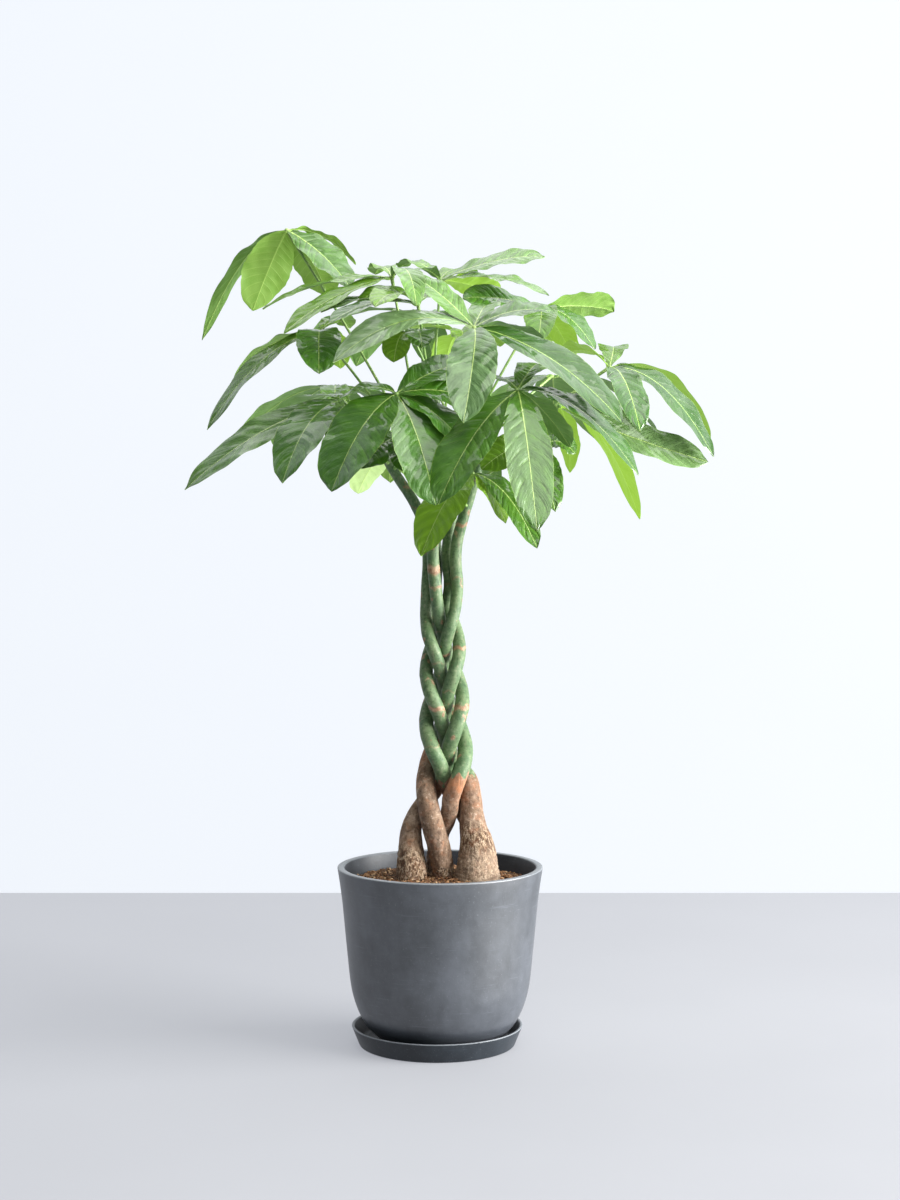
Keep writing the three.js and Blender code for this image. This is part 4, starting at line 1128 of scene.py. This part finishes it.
# One closed leaflet: a top and an underside that share their edge
def makeBlade(build, hub, blade, pale, rng):
    look = bladeLook
    rise, width, lean, lime, *bend = blade[3:]
    rows = look["rows"] + 1
    columns = look["columns"] + 1
    t = np.linspace(0, 1, rows)[:, None]
    s = np.linspace(-1, 1, columns)[None, :]
    u = np.sign(s) * np.abs(s) ** 1.3  # columns crowd towards the rib
    size = np.abs(u)
    middle, side, normal = bladeSpine(hub, seen(blade[:3]), rise, lean, sum(bend), t, rng)
    half, stalk = bladeOutline(width, t, rng)
    vein, high = bladeRelief(half, stalk, t, s, u, rng)
    edge = 1 + look["scallop"] * np.cos(2 * math.pi * vein) * size ** 5 * np.sin(math.pi * t) ** 0.5
    across = side[:, None, :] * (u * half * edge)[..., None]
    top = middle[:, None, :] + across + normal[:, None, :] * high[..., None]
    rib = np.exp(-(u * half / look["ribWide"]) ** 2) * look["rib"] * (1 - 0.75 * t)
    thick = (look["thick"] + rib + look["stalkThick"] * stalk) * (1 - size ** 4)
    under = top - normal[:, None, :] * thick[..., None]

    def everywhere(value):
        return np.full((rows, columns), value)

    fields = {
        "fromRib": np.abs(u * half) * mm * np.ones_like(t), "vein": vein * np.ones_like(u),
        "across": size * np.ones_like(t), "along": t * np.ones_like(u), "lime": everywhere(max(lime, 0)),
        "dark": everywhere(max(-lime, 0)), "pale": everywhere(pale), "tone": everywhere(rng.uniform(0, 1)),
        "rim": np.pad(np.zeros((rows - 2, columns - 2)), 1, constant_values=1),
    }
    marks = {name: np.concatenate([field.ravel(), field[1:-1, 1:-1].ravel()])
             for name, field in fields.items()}
    index = np.arange(rows * columns).reshape(rows, columns)
    below = index.copy()
    inner = (rows - 2) * (columns - 2)
    below[1:-1, 1:-1] = rows * columns + np.arange(inner).reshape(rows - 2, columns - 2)
    points = np.vstack([top.reshape(-1, 3), under[1:-1, 1:-1].reshape(-1, 3)]) * mm
    faces = np.stack([index[:-1, :-1], index[:-1, 1:], index[1:, 1:], index[1:, :-1]], axis=-1)
    back = np.stack([below[:-1, :-1], below[1:, :-1], below[1:, 1:], below[:-1, 1:]], axis=-1)
    faces = np.vstack([faces.reshape(-1, 4), back.reshape(-1, 4)]).tolist()
    build.take(points, faces, [0] * (len(faces) // 2) + [1] * (len(faces) // 2), **marks)


# The stalk of a leaf, from inside its stem over a small elbow to the hub
def petioleLine(stem, at, hub, bow):
    look = petioleLook
    middle, along, radius = stem.at(at)
    toHub = hub - middle
    outward = toHub - along * toHub.dot(along)
    outward = outward / np.linalg.norm(outward)
    up = np.array([0, 0, 1.0])
    start = middle + outward * radius * look["inStem"]
    elbow = start + outward * look["elbow"] + up * look["elbow"] / 3
    knee = elbow + (hub - elbow) * look["knee"] + up * look["kneeUp"]
    halfway = elbow + (hub - elbow) * look["bowAt"] + up * bow
    places = np.linspace(0, 1, look["steps"])
    line = throughPoints([start, elbow, knee, halfway, hub], places)
    swelling = np.maximum(0, 1 - places * 8) + np.maximum(0, places * 12 - 11) * 0.6
    radii = look["thin"] + (look["base"] - look["thin"]) * np.minimum(1, swelling)
    return line, radii


def makeLeaf(name, leaf, seed):
    stemName, at, hubSeen, bow, blades = leaf
    rng = np.random.default_rng(seed)
    hub = seen(hubSeen)
    build = Build()
    for index, blade in enumerate(blades):
        makeBlade(build, hub, blade, paintedSheenBlades.get(name, {}).get(index, 0), rng)
    line, radii = petioleLine(stems[stemName], at, hub, bow)
    knob = hub + np.array([[0, 0, up] for up, thick in petioleLook["knob"]]) * petioleLook["hub"]
    knobRadii = np.array([thick for up, thick in petioleLook["knob"]]) * petioleLook["hub"]
    lines = [(line * mm, radii * mm), (knob * mm, knobRadii * mm)]
    mesh = tubeMesh(name + "_stalk", lines, petioleLook, leafFinishes[2])
    build.take(meshPoints(mesh), [list(face.vertices) for face in mesh.polygons], 2)
    bpy.data.meshes.remove(mesh)
    settle(build.make(name + "_blades", leafFinishes), "leaf", name)


for number, (name, leaf) in enumerate(leaves.items()):
    makeLeaf(name, leaf, 100 + number)
print("leaves made:", len(leaves))


# Floor, wall and light. The floor turns from its near to its far colour away from the plant. A little
# glow of their own keeps the sheets pale.
stage = {
    "wallAt": 1.23, "size": 7.0, "high": 8.0, "farFrom": 1.35, "farTo": 2.2,
    "roughness": 0.75, "shine": 0.15, "cloud": 0.06,
    "near": {"colour": (0.155, 0.157, 0.164), "glow": (0.338, 0.350, 0.385)},
    "far": {"colour": (0.015, 0.015, 0.015), "glow": (0.59, 0.61, 0.66)},
    "wall": {"colour": (0.05, 0.05, 0.05), "glow": (0.80, 0.84, 0.90)},
    "world": (0.88, 0.93, 1.0), "worldStrength": 0.27,
}


def sheet(name, corners, near, far, isWall, seenOnly):
    mesh = bpy.data.meshes.new(name)
    mesh.from_pydata(corners, [], [(0, 1, 2, 3)])
    paint = Paint(name + "Paint")
    place = paint.place()
    cloud = paint.noise(place, scale=1.4, detail=4)
    away = ((place.part(0) ** 2 + place.part(1) ** 2) ** 0.5).between(stage["farFrom"], stage["farTo"])
    colour = paint.blend(away, near["colour"], far["colour"])
    colour = paint.blend(cloud.between(0.3, 0.7) * stage["cloud"], colour, (0.0, 0.0, 0.0))
    surface = paint.add("ShaderNodeBsdfPrincipled", {}, {
        "Base Color": colour, "Roughness": stage["roughness"] + away * (1 - stage["roughness"]),
        "Specular IOR Level": stage["shine"], "Emission Strength": 1.0,
        "Emission Color": paint.blend(away, near["glow"], far["glow"])})
    if isWall:  # clear from behind, so that a view from outside looks through it
        behind = paint.add("ShaderNodeNewGeometry", {}, {}, "Backfacing")
        clear = paint.add("ShaderNodeBsdfTransparent", {}, {})
        surface = paint.add("ShaderNodeMixShader", {}, [behind, surface, clear])
    mesh.materials.append(paint.output(surface))
    piece = addObject(name, mesh)
    if seenOnly:
        piece.visible_diffuse = False
        piece.visible_glossy = False
        piece.visible_shadow = False


size = stage["size"]
wallAt = stage["wallAt"]
high = stage["high"]
floorCorners = [(-size, -size, 0), (size, -size, 0), (size, wallAt, 0), (-size, wallAt, 0)]
sheet("floor", floorCorners, stage["near"], stage["far"], False, False)
# each wall from one end to the other; only the back one has a part in the light, and the rest are backdrop
walls = {
    "wall": ((-size, wallAt), (size, wallAt)),
    "leftWall": ((-size, -size), (-size, wallAt)),
    "rightWall": ((size, wallAt), (size, -size)),
    "frontWall": ((size, -size), (-size, -size)),
}
for name, (start, end) in walls.items():
    corners = [(*start, 0), (*end, 0), (*end, high), (*start, high)]
    sheet(name, corners, stage["wall"], stage["wall"], True, name != "wall")

lights = {
    "key": {"at": (4.0, -1.04, 1.35), "towards": (0, 0, 0.50), "size": (3.8, 2.3), "power": 720,
            "colour": (1.0, 0.99, 0.97)},
    "high": {"at": (0.2, 0.42, 2.5), "towards": (0, -0.75, 0.5), "size": (3.2, 1.7), "power": 26,
             "colour": (1.0, 0.99, 0.94)},
    "upper": {"at": (0.7, -1.3, 2.7), "towards": (0, -0.1, 0.95), "size": (2.4, 1.9), "power": 64,
              "colour": (1.0, 0.99, 0.94)},
}
for name, light in lights.items():
    data = bpy.data.lights.new(name, "AREA")
    data.shape = "RECTANGLE"
    data.size, data.size_y = light["size"]
    data.energy = light["power"]
    data.color = light["colour"]
    lamp = addObject(name, data)
    lamp.location = light["at"]
    aim = Vector(light["towards"]) - Vector(light["at"])
    lamp.rotation_euler = aim.to_track_quat("-Z", "Y").to_euler()

world = bpy.data.worlds.new("studio")
world.use_nodes = True
background = world.node_tree.nodes["Background"]
background.inputs["Color"].default_value = (*stage["world"], 1)
background.inputs["Strength"].default_value = stage["worldStrength"]
bpy.context.scene.world = world
print("stage and lights made")
